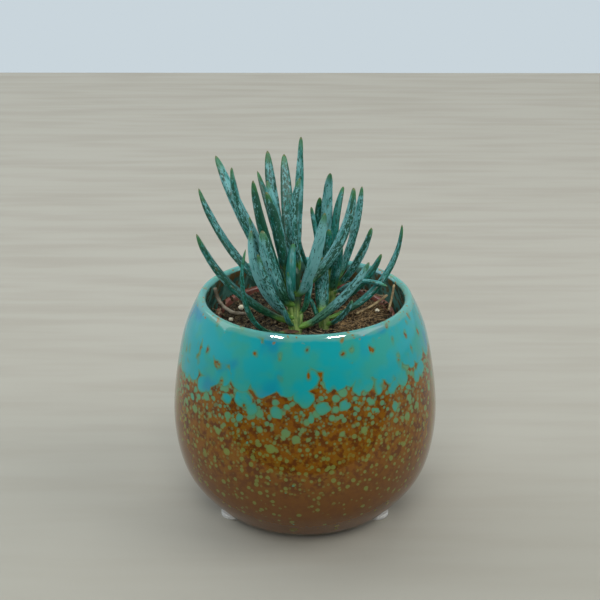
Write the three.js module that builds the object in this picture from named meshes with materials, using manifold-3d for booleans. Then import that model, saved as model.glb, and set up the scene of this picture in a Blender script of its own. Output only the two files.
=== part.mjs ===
// Potted succulent: a blue chalk-stick plant in a plastic nursery pot, which stands loose inside a
// glazed ceramic cover pot on three small pads. Millimetres, +Z up, origin on the table under the
// middle of the pot, -Y towards the front.
import * as THREE from 'three';
import { mergeVertices } from 'three/addons/utils/BufferGeometryUtils.js';
import Module from 'manifold-3d';

// ---- driving dimensions -------------------------------------------------------------------------
const seatGap = 0.3; // left between two pieces that rest on or in each other

// cover pot
const padThickness = 1.7;
const padRadius = 5;
const padInset = 3.2; // middle of each pad inside the edge of the foot
const potHeight = 83.3; // of the ceramic alone, without its pads
const bellyRadius = 50;
const footRadius = 33.7;
const mouthRadius = 36.6;
const lipRadius = 1.7; // the lip is a half round of this radius
const potWall = 4.5;
const potFloor = 6;

// nursery pot
const mouthClearance = 3.1; // nursery rim to ceramic mouth
const nurseryRimDrop = 7.8; // nursery rim below the top of the ceramic
const nurseryWall = 1;
const nurseryRimHeight = 6;
const nurseryRimOverhang = 1.2; // rim proud of the wall under it
const nurseryFootRadius = 25;
const drainHoleRadius = 3;
const drainHoleRing = 14;
const drainHoleCount = 5;

// soil and what lies on it
const soilDrop = 1.5; // soil level below the nursery rim
const soilRoughness = 0.45;
const bedding = 0.12; // a grain sits this much higher, because the soil under it slopes
const rootDepth = 8; // how far a stem goes into the soil
const matThickness = 2.8;
const twigRadius = 0.75;
const strawRadius = 0.5;

// leaves
const leafThickness = 0.85; // share of the leaf's width
const leafFoot = 0.45; // width at the foot as a share of the full width
const leafSides = 8;

// ---- levels and radii that follow from them ------------------------------------------------------
const padRingRadius = footRadius - padInset;
const undersideLevel = padThickness + seatGap;
const rimLevel = undersideLevel + potHeight;
const floorLevel = undersideLevel + potFloor;
const nurseryRimRadius = mouthRadius - mouthClearance;
const nurseryRimLevel = rimLevel - nurseryRimDrop;
const nurseryFootLevel = floorLevel + seatGap;
const nurseryNeckRadius = nurseryRimRadius - nurseryRimOverhang;
const soilLevel = nurseryRimLevel - soilDrop;
const soilFootLevel = nurseryFootLevel + nurseryWall + seatGap;
const coverLevel = soilLevel + soilRoughness + seatGap; // where loose things lie on the soil

const degrees = Math.PI / 180;

// ---- plant: stems and the leaves on them ---------------------------------------------------------
// foot: where the stem leaves the soil. tilt: drift per mm of height. Each leaf is an arc in an
// upright plane: height of its foot on the stem, turn of the plane (0 right, 90 back), lean from
// upright at the foot and at the tip, length along the arc, full width.
const stems = [
  {
    name: 'front', foot: [-3.5, -15.5], tilt: [-0.02, 0.11], radius: 2.2, length: 25, taper: 3,
    leaves: [
      { height: 2, turn: 232, lean: [88, -23], length: 53, width: 2 },
      { height: 2.5, turn: 352, lean: [56, 27], length: 35.5, width: 4.5 },
      { height: 3.5, turn: 248, lean: [51, 22], length: 13, width: 2 },
      { height: 4.5, turn: 181, lean: [67, 20], length: 47.5, width: 4 },
      { height: 6, turn: 233, lean: [43, 18], length: 35.5, width: 3.5 },
      { height: 7, turn: 350, lean: [11, 11], length: 15.5, width: 3 },
      { height: 7, turn: 196, lean: [45, -4], length: 37, width: 4.5 },
      { height: 10.5, turn: 154, lean: [65, 21], length: 54, width: 3.5 },
      { height: 11, turn: 227, lean: [33, 10], length: 34.5, width: 6 },
      { height: 12, turn: 185, lean: [34, 9], length: 35, width: 3.5 },
      { height: 13, turn: 262, lean: [57, 20], length: 21, width: 2 },
      { height: 13.5, turn: 146, lean: [40, 27], length: 56.5, width: 5 },
      { height: 14.5, turn: 305, lean: [32, 13], length: 39, width: 4.5 },
      { height: 15.5, turn: 253, lean: [20, -31], length: 19.5, width: 3.5 },
      { height: 16.5, turn: 209, lean: [25, 8], length: 45, width: 4.5 },
      { height: 17, turn: 13, lean: [52, 2], length: 41.5, width: 5 },
      { height: 17, turn: 108, lean: [57, 14], length: 52.5, width: 4.5 },
      { height: 17.5, turn: 167, lean: [45, 4], length: 48, width: 4 },
      { height: 19, turn: 126, lean: [25, 33], length: 41, width: 3 },
      { height: 20.5, turn: 98, lean: [41, 26], length: 45.5, width: 4.5 },
      { height: 22.5, turn: 79, lean: [14, 9], length: 47.5, width: 3 },
      { height: 22.5, turn: 199, lean: [4, 20], length: 32, width: 5 },
      { height: 23.5, turn: 45, lean: [-24, 23], length: 34.5, width: 3.5 },
      { height: 24, turn: 149, lean: [12, 16], length: 32, width: 4 },
    ],
  },
  {
    name: 'rear', foot: [9, 7], tilt: [0.025, 0.05], radius: 2, length: 21, taper: 2.5,
    leaves: [
      { height: 2.5, turn: 13, lean: [64, 24], length: 25.5, width: 3.5 },
      { height: 6.5, turn: 322, lean: [38, 100], length: 26.5, width: 2.5 },
      { height: 7.5, turn: 155, lean: [48, -4], length: 29, width: 2 },
      { height: 8, turn: 290, lean: [18, 24], length: 22.5, width: 3.5 },
      { height: 9.5, turn: 341, lean: [40, 15], length: 28, width: 4 },
      { height: 10.5, turn: 30, lean: [28, 5], length: 37.5, width: 3.5 },
      { height: 14, turn: 150, lean: [12, 13], length: 25.5, width: 2.5 },
      { height: 15, turn: 118, lean: [38, -14], length: 28, width: 3.5 },
      { height: 16, turn: 263, lean: [15, 11], length: 18.5, width: 3.5 },
      { height: 19, turn: 60, lean: [-10, 37], length: 28, width: 3 },
      { height: 20, turn: 106, lean: [19, -24], length: 33.5, width: 4 },
    ],
  },
  {
    name: 'side', foot: [6.8, -11.5], tilt: [0.05, 0.06], radius: 1.5, length: 6.5, taper: 2,
    leaves: [
      { height: 2, turn: 340, lean: [56, 20], length: 14, width: 3 },
      { height: 3, turn: 146, lean: [29, 28], length: 9, width: 2 },
      { height: 4, turn: 21, lean: [81, 1], length: 46.5, width: 3 },
      { height: 5, turn: 100, lean: [34, -31], length: 22.5, width: 5 },
    ],
  },
];

// ---- materials -----------------------------------------------------------------------------------
function material(color, roughness) {
  return new THREE.MeshStandardMaterial({ color, roughness, metalness: 0 });
}

const glaze = material(0x2f8f95, 0.15);
const padFoam = material(0xe4e0d6, 0.7);
const redPlastic = material(0x8a3a30, 0.5);
const peat = material(0x33241b, 0.95);
const rootFibre = material(0x8a6f4c, 0.9);
const dryStick = material(0x9a8f78, 0.85);
const dryStraw = material(0xb99a62, 0.8);
const perlite = material(0xd8cfb4, 0.9);
const dryScale = material(0x7a5238, 0.85);
const greenStem = material(0x7f9d45, 0.6);
const leafSkin = material(0x5f9d93, 0.6);

const group = new THREE.Group();

function add(name, geometry, finish) {
  const mesh = new THREE.Mesh(geometry, finish);
  mesh.name = name;
  group.add(mesh);
  return mesh;
}

// ---- booleans ------------------------------------------------------------------------------------
const wasm = await Module();
wasm.setup();

function toSolid(geometry) {
  const bare = geometry.clone();
  bare.deleteAttribute('normal');
  bare.deleteAttribute('uv');
  const merged = mergeVertices(bare, 1e-4);
  const solid = new wasm.Mesh({
    numProp: 3,
    vertProperties: new Float32Array(merged.attributes.position.array),
    triVerts: new Uint32Array(merged.index.array),
  });
  return new wasm.Manifold(solid);
}

function toGeometry(solid) {
  const mesh = solid.getMesh();
  const geometry = new THREE.BufferGeometry();
  geometry.setAttribute('position', new THREE.BufferAttribute(mesh.vertProperties, 3));
  geometry.setIndex(new THREE.BufferAttribute(mesh.triVerts, 1));
  return geometry;
}

function cutAll(geometry, tools) {
  const solid = tools.reduce((left, tool) => left.subtract(toSolid(tool)), toSolid(geometry));
  return toGeometry(solid);
}

// ---- shared shapes -------------------------------------------------------------------------------
// A turned piece about the Z axis; its outline runs from the foot of the axis, outwards and up.
function turned(outline, segments) {
  return new THREE.LatheGeometry(outline, segments).rotateX(Math.PI / 2);
}

function point(radius, level) {
  return new THREE.Vector2(radius, level);
}

function onRing(radius, turn) {
  return { x: radius * Math.cos(turn * degrees), y: radius * Math.sin(turn * degrees) };
}

function rod(points, radius, steps) {
  const section = new THREE.Shape();
  for (let i = 0; i < 8; i += 1) {
    const angle = (i / 8) * 2 * Math.PI;
    section[i ? 'lineTo' : 'moveTo'](radius * Math.cos(angle), radius * Math.sin(angle));
  }
  const places = points.map(([distance, turn, level]) => {
    const { x, y } = onRing(distance, turn);
    return new THREE.Vector3(x, y, level);
  });
  const path = new THREE.CatmullRomCurve3(places);
  return new THREE.ExtrudeGeometry(section, { steps, extrudePath: path });
}

// ---- ceramic cover pot ---------------------------------------------------------------------------
// Outer wall: from the foot through the belly to the neck under the lip.
function outerWall() {
  const neckRadius = mouthRadius + 2 * lipRadius;
  const neckLevel = rimLevel - lipRadius;
  const wallAt = (share, radius) => point(radius, undersideLevel + share * potHeight);
  const between = (share) => neckRadius + share * (bellyRadius - neckRadius);
  const stations = [
    point(footRadius, undersideLevel),
    wallAt(0.06, footRadius + 0.31 * (bellyRadius - footRadius)),
    wallAt(0.2, footRadius + 0.8 * (bellyRadius - footRadius)),
    wallAt(0.42, bellyRadius),
    wallAt(0.65, between(0.83)),
    wallAt(0.85, between(0.49)),
    point(neckRadius, neckLevel),
  ];
  return new THREE.SplineCurve(stations).getPoints(15);
}

function lip() {
  const points = [];
  for (let i = 1; i < 8; i += 1) {
    const angle = (i / 8) * Math.PI;
    const radius = mouthRadius + lipRadius + lipRadius * Math.cos(angle);
    points.push(point(radius, rimLevel - lipRadius + lipRadius * Math.sin(angle)));
  }
  return points;
}

function coverPot() {
  const outer = outerWall();
  const cornerLevel = floorLevel + potWall;
  const inner = outer
    .filter((p) => p.y > cornerLevel && p.y < rimLevel - 3 * lipRadius)
    .map((p) => point(p.x - potWall, p.y))
    .reverse();
  const corner = inner[inner.length - 1];
  const outline = [
    point(0, undersideLevel),
    ...outer,
    ...lip(),
    point(mouthRadius, rimLevel - lipRadius),
    ...inner,
    point(corner.x - 1.3 * potWall, floorLevel),
    point(0, floorLevel),
  ];
  return turned(outline, 44);
}

function pad(turn) {
  const edge = 0.3;
  const outline = [
    point(0, 0),
    point(padRadius - edge, 0),
    point(padRadius, edge),
    point(padRadius, padThickness - edge),
    point(padRadius - edge, padThickness),
    point(0, padThickness),
  ];
  const { x, y } = onRing(padRingRadius, turn);
  return turned(outline, 24).translate(x, y, 0);
}

// ---- nursery pot ---------------------------------------------------------------------------------
function nurseryPot() {
  const underRim = nurseryRimLevel - nurseryRimHeight;
  const innerTop = nurseryNeckRadius - nurseryWall;
  const innerFoot = nurseryFootRadius - nurseryWall;
  const outline = [
    point(0, nurseryFootLevel),
    point(nurseryFootRadius, nurseryFootLevel),
    point(nurseryNeckRadius, underRim),
    point(nurseryRimRadius, underRim),
    point(nurseryRimRadius, nurseryRimLevel - 0.5),
    point(nurseryRimRadius - 0.5, nurseryRimLevel),
    point(innerTop + 0.4, nurseryRimLevel),
    point(innerTop, nurseryRimLevel - 0.5),
    point(innerTop, underRim),
    point(innerFoot, nurseryFootLevel + nurseryWall),
    point(0, nurseryFootLevel + nurseryWall),
  ];
  const holes = [];
  for (let i = 0; i < drainHoleCount; i += 1) {
    const { x, y } = onRing(drainHoleRing, (i / drainHoleCount) * 360);
    const hole = new THREE.CylinderGeometry(drainHoleRadius, drainHoleRadius, 4 * nurseryWall, 16);
    holes.push(hole.rotateX(Math.PI / 2).translate(x, y, nurseryFootLevel));
  }
  return cutAll(turned(outline, 40), holes);
}

// ---- soil ----------------------------------------------------------------------------------------
function soilBump(x, y) {
  const waves = Math.sin(0.31 * x + 1.1) * Math.cos(0.27 * y) + Math.sin(0.52 * y - 0.23 * x);
  return (soilRoughness * waves) / 2;
}

function stemBore(stem) {
  const radius = stem.radius + seatGap;
  const depth = rootDepth + seatGap;
  const bore = new THREE.CylinderGeometry(radius, radius, 2 * depth, 16).rotateX(Math.PI / 2);
  return bore.translate(stem.foot[0], stem.foot[1], soilLevel);
}

function soil() {
  const topRadius = nurseryNeckRadius - nurseryWall - seatGap;
  const footEdge = nurseryFootRadius - nurseryWall - seatGap;
  const taperTop = nurseryRimLevel - nurseryRimHeight;
  const outline = [
    point(0, soilFootLevel),
    point(footEdge - seatGap, soilFootLevel),
    point(topRadius - seatGap, taperTop),
    point(topRadius, soilLevel - soilRoughness),
  ];
  for (let i = 6; i >= 0; i -= 1) {
    outline.push(point((topRadius * i) / 6.5, soilLevel));
  }
  const body = turned(outline, 32);
  const positions = body.attributes.position;
  for (let i = 0; i < positions.count; i += 1) {
    const onTop = positions.getZ(i) > soilLevel - soilRoughness / 2;
    const bump = onTop ? soilBump(positions.getX(i), positions.getY(i)) : 0;
    positions.setZ(i, positions.getZ(i) + bump);
  }
  return cutAll(body, stems.map(stemBore));
}

// ---- loose things on the soil --------------------------------------------------------------------
const soilRadius = nurseryNeckRadius - nurseryWall - seatGap;
const matCentre = [0.68 * soilRadius, -0.21 * soilRadius];
const matHalf = [0.27 * soilRadius, 0.45 * soilRadius];

const matTurn = -14 * degrees;
const matEdge = 0.25; // share of the thickness that the rim of the mat has

// A low dome of dry roots, longer along the rim than across.
function rootMat() {
  const outline = [point(0, 0), point(0.9, 0), point(1, matEdge)];
  for (let i = 1; i < 4; i += 1) {
    const angle = (i / 4) * 90 * degrees;
    outline.push(point(Math.cos(angle), matEdge + (1 - matEdge) * Math.sin(angle)));
  }
  outline.push(point(0, 1));
  const dome = turned(outline, 24).scale(matHalf[0], matHalf[1], matThickness);
  return dome.rotateZ(matTurn).translate(matCentre[0], matCentre[1], coverLevel);
}

function matLevel(x, y) {
  const offset = new THREE.Vector2(x - matCentre[0], y - matCentre[1]);
  offset.rotateAround(new THREE.Vector2(), -matTurn);
  const share = Math.min(Math.hypot(offset.x / matHalf[0], offset.y / matHalf[1]), 1);
  return coverLevel + matThickness * (matEdge + (1 - matEdge) * Math.sqrt(1 - share ** 2));
}

function grain([inset, turn], [a, b, c], onMat = false) {
  const { x, y } = onRing(nurseryRimRadius - inset, turn);
  const bed = bedding + (onMat ? matLevel(x, y) : soilLevel + soilBump(x, y));
  const stone = new THREE.IcosahedronGeometry(1, 1).scale(a, b, c);
  return stone.rotateZ(turn).translate(x, y, bed + seatGap + c);
}

function flake() {
  const outline = [point(0, -1), point(0.8, -0.6), point(1, 0), point(0.8, 0.6), point(0, 1)];
  const thin = turned(outline, 16).scale(3.6, 1.6, 0.28);
  const [x, y] = stems[0].foot;
  return thin.rotateZ(-8 * degrees).translate(x - 2, y - 4.8, coverLevel + 0.28);
}

// ---- plant ---------------------------------------------------------------------------------------
function stemAxis(stem, height) {
  const x = stem.foot[0] + stem.tilt[0] * height;
  const y = stem.foot[1] + stem.tilt[1] * height;
  return new THREE.Vector3(x, y, soilLevel + height);
}

// A round rod with a domed top, its root end in the soil; the rooted part stays upright.
function stemBody(stem) {
  const outline = [point(0, -rootDepth), point(0.7 * stem.radius, -rootDepth)];
  outline.push(point(stem.radius, 0.3 * stem.radius - rootDepth));
  outline.push(point(stem.radius, 0));
  for (let i = 0; i < 5; i += 1) {
    const angle = (i / 5) * 90 * degrees;
    const height = stem.length - stem.taper + stem.taper * Math.sin(angle);
    outline.push(point(stem.radius * Math.cos(angle), height));
  }
  outline.push(point(0, stem.length));
  const body = turned(outline, 14);
  const positions = body.attributes.position;
  for (let i = 0; i < positions.count; i += 1) {
    const axis = stemAxis(stem, Math.max(positions.getZ(i), 0));
    const x = positions.getX(i) + axis.x;
    const y = positions.getY(i) + axis.y;
    positions.setXYZ(i, x, y, positions.getZ(i) + soilLevel);
  }
  return body;
}

// Half width of a leaf at a share of its length: narrow foot, full middle, blunt point.
function leafProfile(share) {
  if (share < 0.5) {
    return leafFoot + (1 - leafFoot) * Math.sin(share * Math.PI);
  }
  return Math.sqrt(1 - ((share - 0.5) / 0.5) ** 2.6);
}

function leafBlank() {
  const shares = [0.02, 0.15, 0.32, 0.5, 0.68, 0.83, 0.94, 0.985];
  const outline = [point(0, 0), point(0.8 * leafFoot, 0.004)];
  shares.forEach((share) => outline.push(point(leafProfile(share), share)));
  outline.push(point(0, 1));
  return new THREE.LatheGeometry(outline, leafSides);
}

// Bends the straight blank along the leaf's arc: its length runs along the arc, its width lies
// level across the arc and its thickness in the plane of the arc.
function leafBody(stem, leaf) {
  const turn = leaf.turn * degrees;
  const [leanFoot, leanTip] = leaf.lean.map((lean) => lean * degrees);
  const bend = leanTip - leanFoot;
  const halfWidth = leaf.width / 2;
  const halfThickness = halfWidth * leafThickness;
  const standoff = stem.radius + seatGap + leafFoot * halfThickness * Math.cos(leanFoot);
  const outward = new THREE.Vector3(Math.cos(turn), Math.sin(turn), 0);
  const across = new THREE.Vector3(-Math.sin(turn), Math.cos(turn), 0);
  const up = new THREE.Vector3(0, 0, 1);
  const start = stemAxis(stem, leaf.height).addScaledVector(outward, standoff);
  const body = leafBlank();
  const positions = body.attributes.position;
  for (let i = 0; i < positions.count; i += 1) {
    const along = positions.getY(i);
    const lean = leanFoot + bend * along;
    const straight = Math.abs(bend) < 1e-6;
    const run = straight ? along * Math.sin(lean) : (Math.cos(leanFoot) - Math.cos(lean)) / bend;
    const rise = straight ? along * Math.cos(lean) : (Math.sin(lean) - Math.sin(leanFoot)) / bend;
    const place = start.clone().addScaledVector(outward, leaf.length * run);
    place.addScaledVector(up, leaf.length * rise);
    place.addScaledVector(across, halfWidth * positions.getX(i));
    place.addScaledVector(outward, halfThickness * positions.getZ(i) * Math.cos(lean));
    place.addScaledVector(up, -halfThickness * positions.getZ(i) * Math.sin(lean));
    positions.setXYZ(i, place.x, place.y, place.z);
  }
  return body;
}

// ---- assembly ------------------------------------------------------------------------------------
add('ceramic_pot', coverPot(), glaze);
add('base_pad_left', pad(-152), padFoam);
add('base_pad_right', pad(-28), padFoam);
add('base_pad_back', pad(90), padFoam);
add('nursery_pot', nurseryPot(), redPlastic);
add('soil', soil(), peat);
add('root_mat', rootMat(), rootFibre);

// Loose sticks: [distance from the middle, turn, level] of each point along them.
const twigPath = [
  [mouthRadius - 1.6, 166, rimLevel - 1.2],
  [nurseryRimRadius - 0.2, 168, nurseryRimLevel + 2.4],
  [nurseryRimRadius - 3.5, 177, nurseryRimLevel + 1.4],
  [nurseryRimRadius - 7, 183, nurseryRimLevel + 0.6],
  [nurseryRimRadius - 12, 185, nurseryRimLevel + 0.2],
];
const shortStrawPath = [
  [mouthRadius - 1.3, 18, rimLevel - 0.9],
  [nurseryRimRadius - 0.7, 9, rimLevel - 3.8],
  [nurseryRimRadius - 2.5, -1, nurseryRimLevel + 1.2],
];
const matTop = coverLevel + matThickness;
const longStrawPath = [
  [nurseryRimRadius - 13.3, -23, matTop + 0.9],
  [nurseryRimRadius - 8.5, -2, matTop + 1.3],
  [nurseryRimRadius - 1.9, 13, matTop + 2.2],
];
add('dry_twig', rod(twigPath, twigRadius, 14), dryStick);
add('dry_straw_short', rod(shortStrawPath, strawRadius, 8), dryStraw);
add('dry_straw_long', rod(longStrawPath, strawRadius, 10), dryStraw);

// Grains: [distance in from the nursery rim, turn], half sizes, and whether it lies on the mat.
add('perlite_1', grain([9, 168], [1.4, 1.1, 0.9]), perlite);
add('perlite_2', grain([5.7, 191], [1.0, 0.8, 0.7]), perlite);
add('perlite_3', grain([9.1, 244], [1.6, 1.0, 0.6]), perlite);
add('perlite_4', grain([10.2, 59], [1.5, 1.1, 0.9]), perlite);
add('perlite_5', grain([6.7, -9], [0.9, 0.8, 0.7], true), perlite);
add('dry_scale', flake(), dryScale);

stems.forEach((stem) => {
  add(`${stem.name}_stem`, stemBody(stem), greenStem);
  stem.leaves.forEach((leaf, index) => {
    const number = String(index + 1).padStart(2, '0');
    add(`${stem.name}_leaf_${number}`, leafBody(stem, leaf), leafSkin);
  });
});

export default group;
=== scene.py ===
"""A blue chalk-stick plant in a plastic nursery pot, standing in a reactive-glazed ceramic cover pot.

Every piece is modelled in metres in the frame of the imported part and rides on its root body.
"""

import logging
import math
from dataclasses import dataclass, field
from enum import Enum
from typing import Any, Callable, Sequence, Union

import bpy
import numpy as np
from mathutils import Euler, Matrix, Vector

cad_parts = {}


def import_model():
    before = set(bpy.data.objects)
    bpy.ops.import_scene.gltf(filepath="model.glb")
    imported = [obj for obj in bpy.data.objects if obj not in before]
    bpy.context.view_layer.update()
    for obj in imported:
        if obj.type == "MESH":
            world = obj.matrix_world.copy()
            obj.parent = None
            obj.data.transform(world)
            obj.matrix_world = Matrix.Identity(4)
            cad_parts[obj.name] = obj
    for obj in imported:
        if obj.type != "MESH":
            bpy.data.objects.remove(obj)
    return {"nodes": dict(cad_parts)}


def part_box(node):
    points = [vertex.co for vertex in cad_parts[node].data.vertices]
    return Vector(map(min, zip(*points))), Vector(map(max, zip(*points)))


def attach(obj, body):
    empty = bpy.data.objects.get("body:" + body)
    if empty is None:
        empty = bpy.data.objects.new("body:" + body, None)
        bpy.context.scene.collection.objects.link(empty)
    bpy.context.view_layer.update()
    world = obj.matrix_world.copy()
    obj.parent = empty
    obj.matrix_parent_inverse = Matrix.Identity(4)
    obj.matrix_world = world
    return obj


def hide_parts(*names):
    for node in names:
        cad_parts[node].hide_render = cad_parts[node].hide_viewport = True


log = logging.getLogger("potted_succulent")

MM = 0.001
ROOT = "root"

Colour = tuple[float, float, float]
Outline = list[tuple[float, float]]


class Slot(Enum):
    """The finishes that the record names."""

    GLAZE = "reactive_glaze"
    PAD = "pad_foam"
    PLASTIC = "red_plastic"
    PEAT = "peat"
    ROOTS = "dry_roots"
    TWIG = "dry_twig"
    STRAW = "dry_straw"
    PERLITE = "perlite"
    SCALE = "dry_scale"
    STEM = "stem"
    LEAF = "leaf"


# ---- shader maths --------------------------------------------------------------------------------


class Wire:
    """A socket's output, with arithmetic that adds the Math or Vector Math nodes it needs."""

    def __init__(self, graph: "Graph", socket: bpy.types.NodeSocket) -> None:
        """Wraps a socket.

        Args:
            graph: the graph that the socket belongs to.
            socket: an output socket of one of its nodes.
        """
        self.graph = graph
        self.socket = socket

    def _apply(self, operation: str, *values: Any) -> "Wire":
        """Adds one Math or Vector Math node.

        Args:
            operation: the node's operation.
            values: what goes into its sockets, in order.

        Returns:
            The node's output.
        """
        many = any(isinstance(v, Wire) and v.socket.type != "VALUE" for v in values)
        kind = "ShaderNodeVectorMath" if many else "ShaderNodeMath"
        spread = [(v, v, v) if many and isinstance(v, (int, float)) else v for v in values]
        return self.graph.node(kind, {"operation": operation}, dict(enumerate(spread)))

    def __add__(self, other: Any) -> "Wire":
        """The sum."""
        return self._apply("ADD", self, other)

    __radd__ = __add__

    def __sub__(self, other: Any) -> "Wire":
        """The difference."""
        return self._apply("SUBTRACT", self, other)

    def __rsub__(self, other: Any) -> "Wire":
        """The difference the other way round."""
        return self._apply("SUBTRACT", other, self)

    def __mul__(self, other: Any) -> "Wire":
        """The product."""
        return self._apply("MULTIPLY", self, other)

    __rmul__ = __mul__

    def __truediv__(self, other: Any) -> "Wire":
        """The quotient."""
        return self._apply("DIVIDE", self, other)

    def __pow__(self, other: Any) -> "Wire":
        """The power."""
        return self._apply("POWER", self, other)

    def at_most(self, other: Any) -> "Wire":
        """The smaller of the two."""
        return self._apply("MINIMUM", self, other)

    def at_least(self, other: Any) -> "Wire":
        """The larger of the two."""
        return self._apply("MAXIMUM", self, other)

    def step(self, low: float, high: float) -> "Wire":
        """Rises smoothly from 0 to 1.

        Args:
            low: the value up to which it stays 0.
            high: the value from which it stays 1.

        Returns:
            The share from 0 to 1.
        """
        settings = {"interpolation_type": "SMOOTHSTEP"}
        return self.graph.node("ShaderNodeMapRange", settings, {0: self, 1: low, 2: high})

    def curve(self, stops: Sequence[tuple[float, float]]) -> "Wire":
        """Follows a line through several points.

        Args:
            stops: pairs of a value of this wire and what it becomes, in rising order.

        Returns:
            The new value.
        """
        low, high = stops[0][0], stops[-1][0]
        share = (self - low) / (high - low)
        greys = [((at - low) / (high - low), (value,) * 3) for at, value in stops]
        return self.graph.ramp(share, greys)

    def part(self, axis: str) -> "Wire":
        """One coordinate of a vector, named X, Y or Z."""
        return self.graph.node("ShaderNodeSeparateXYZ", {}, {0: self}, axis)


class Graph:
    """A material, or the world, under construction."""

    def __init__(self, name: str, world: bool = False) -> None:
        """Starts an empty material or world.

        Args:
            name: its name.
            world: whether it is the world that surrounds the scene.
        """
        self.owner = bpy.data.worlds.new(name) if world else bpy.data.materials.new(name)
        self.owner.use_nodes = True
        self.tree = self.owner.node_tree
        self.tree.nodes.clear()

    def node(
        self,
        kind: str,
        settings: dict[str, Any],
        sockets: dict[Union[int, str], Any],
        output: Union[int, str] = 0,
    ) -> Wire:
        """Adds a node.

        Args:
            kind: the node's type name.
            settings: properties, which are set first; "stops" fills a colour ramp.
            sockets: input socket by name or number, with a value or a wire.
            output: the output socket wanted, by name or number.

        Returns:
            That output.
        """
        made = self.tree.nodes.new(kind)
        for key, value in settings.items():
            if key == "stops":
                self._fill_ramp(made.color_ramp, value)
            else:
                setattr(made, key, value)
        for key, value in sockets.items():
            target = made.inputs[key]
            if isinstance(value, Wire):
                self.tree.links.new(value.socket, target)
            elif isinstance(value, tuple) and target.type == "RGBA":
                target.default_value = (*value, 1)
            else:
                target.default_value = value
        return Wire(self, made.outputs[output])

    @staticmethod
    def _fill_ramp(ramp: bpy.types.ColorRamp, stops: Sequence[tuple[float, Colour]]) -> None:
        """Puts the stops of a ramp in place.

        Args:
            ramp: the ramp.
            stops: place and colour of each stop, in rising order.
        """
        while len(ramp.elements) < len(stops):
            ramp.elements.new(1)
        for element, (place, colour) in zip(ramp.elements, stops):
            element.position = place
            element.color = (*colour, 1)

    def ramp(self, share: Wire, stops: Sequence[tuple[float, Colour]]) -> Wire:
        """A colour that follows a share from 0 to 1."""
        return self.node("ShaderNodeValToRGB", {"stops": stops}, {0: share})

    def place(self) -> Wire:
        """Object coordinates in millimetres."""
        here = self.node("ShaderNodeTexCoord", {}, {}, "Object")
        return here * 1000.0

    def attribute(self, name: str, output: str = "Fac") -> Wire:
        """A value that the mesh carries."""
        return self.node("ShaderNodeAttribute", {"attribute_name": name}, {}, output)

    def stretch(self, vector: Wire, x: float, y: float, z: float) -> Wire:
        """A vector with each coordinate multiplied by its own number."""
        return vector * self.vector(x, y, z)

    def vector(self, x: Any, y: Any, z: Any) -> Wire:
        """A vector from three values."""
        return self.node("ShaderNodeCombineXYZ", {}, {0: x, 1: y, 2: z})

    def noise(
        self,
        vector: Wire,
        size: float,
        detail: float = 2.0,
        roughness: float = 0.5,
        output: int = 0,
    ) -> Wire:
        """Cloudy noise.

        Args:
            vector: where it is read.
            size: the size of its features, in the vector's own unit.
            detail: how many finer layers it has.
            roughness: how strong those are.
            output: 0 for the grey value, 1 for a colour.

        Returns:
            The noise.
        """
        sockets = {"Vector": vector, "Scale": 1 / size, "Detail": detail, "Roughness": roughness}
        return self.node("ShaderNodeTexNoise", {}, sockets, output)

    def cells(self, vector: Wire, size: float, output: str = "Distance") -> Wire:
        """Round cells scattered through space.

        Args:
            vector: where they are read.
            size: the spacing of the cells, in the vector's own unit.
            output: Distance from the middle of the nearest cell, or its Color.

        Returns:
            The distance in cell sizes, or the colour.
        """
        sockets = {"Vector": vector, "Scale": 1 / size}
        return self.node("ShaderNodeTexVoronoi", {"feature": "F1"}, sockets, output)

    def mix(self, share: Any, low: Any, high: Any) -> Wire:
        """A colour between two others.

        Args:
            share: 0 gives the first and 1 the second.
            low: the first colour.
            high: the second colour.

        Returns:
            The mixed colour.
        """
        settings = {"data_type": "RGBA"}
        return self.node("ShaderNodeMix", settings, {0: share, 6: low, 7: high}, 2)

    def bump(self, height: Wire, depth: float, strength: float = 1.0) -> Wire:
        """A normal from a height.

        Args:
            height: the height, from 0 to 1.
            depth: how far 1 stands above 0, in millimetres.
            strength: how much of it shows.

        Returns:
            The normal.
        """
        sockets = {"Strength": strength, "Distance": depth * MM, "Height": height}
        return self.node("ShaderNodeBump", {}, sockets)

    def surface(self, **sockets: Any) -> bpy.types.Material:
        """Closes the material with a Principled surface.

        Args:
            sockets: the surface's sockets, with _ for each space in their names.

        Returns:
            The material.
        """
        named = {key.replace("_", " "): value for key, value in sockets.items()}
        if "Specular IOR Level" not in named:
            named["Specular IOR Level"] = 0.5
        return self.close("ShaderNodeOutputMaterial", self.node("ShaderNodeBsdfPrincipled", {}, named))

    def close(self, kind: str, last: Wire) -> Any:
        """Joins the last node to the output.

        Args:
            kind: the output node's type name.
            last: what goes into it.

        Returns:
            The finished material or world.
        """
        end = self.tree.nodes.new(kind)
        self.tree.links.new(last.socket, end.inputs[0])
        return self.owner


# ---- finishes ------------------------------------------------------------------------------------


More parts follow.
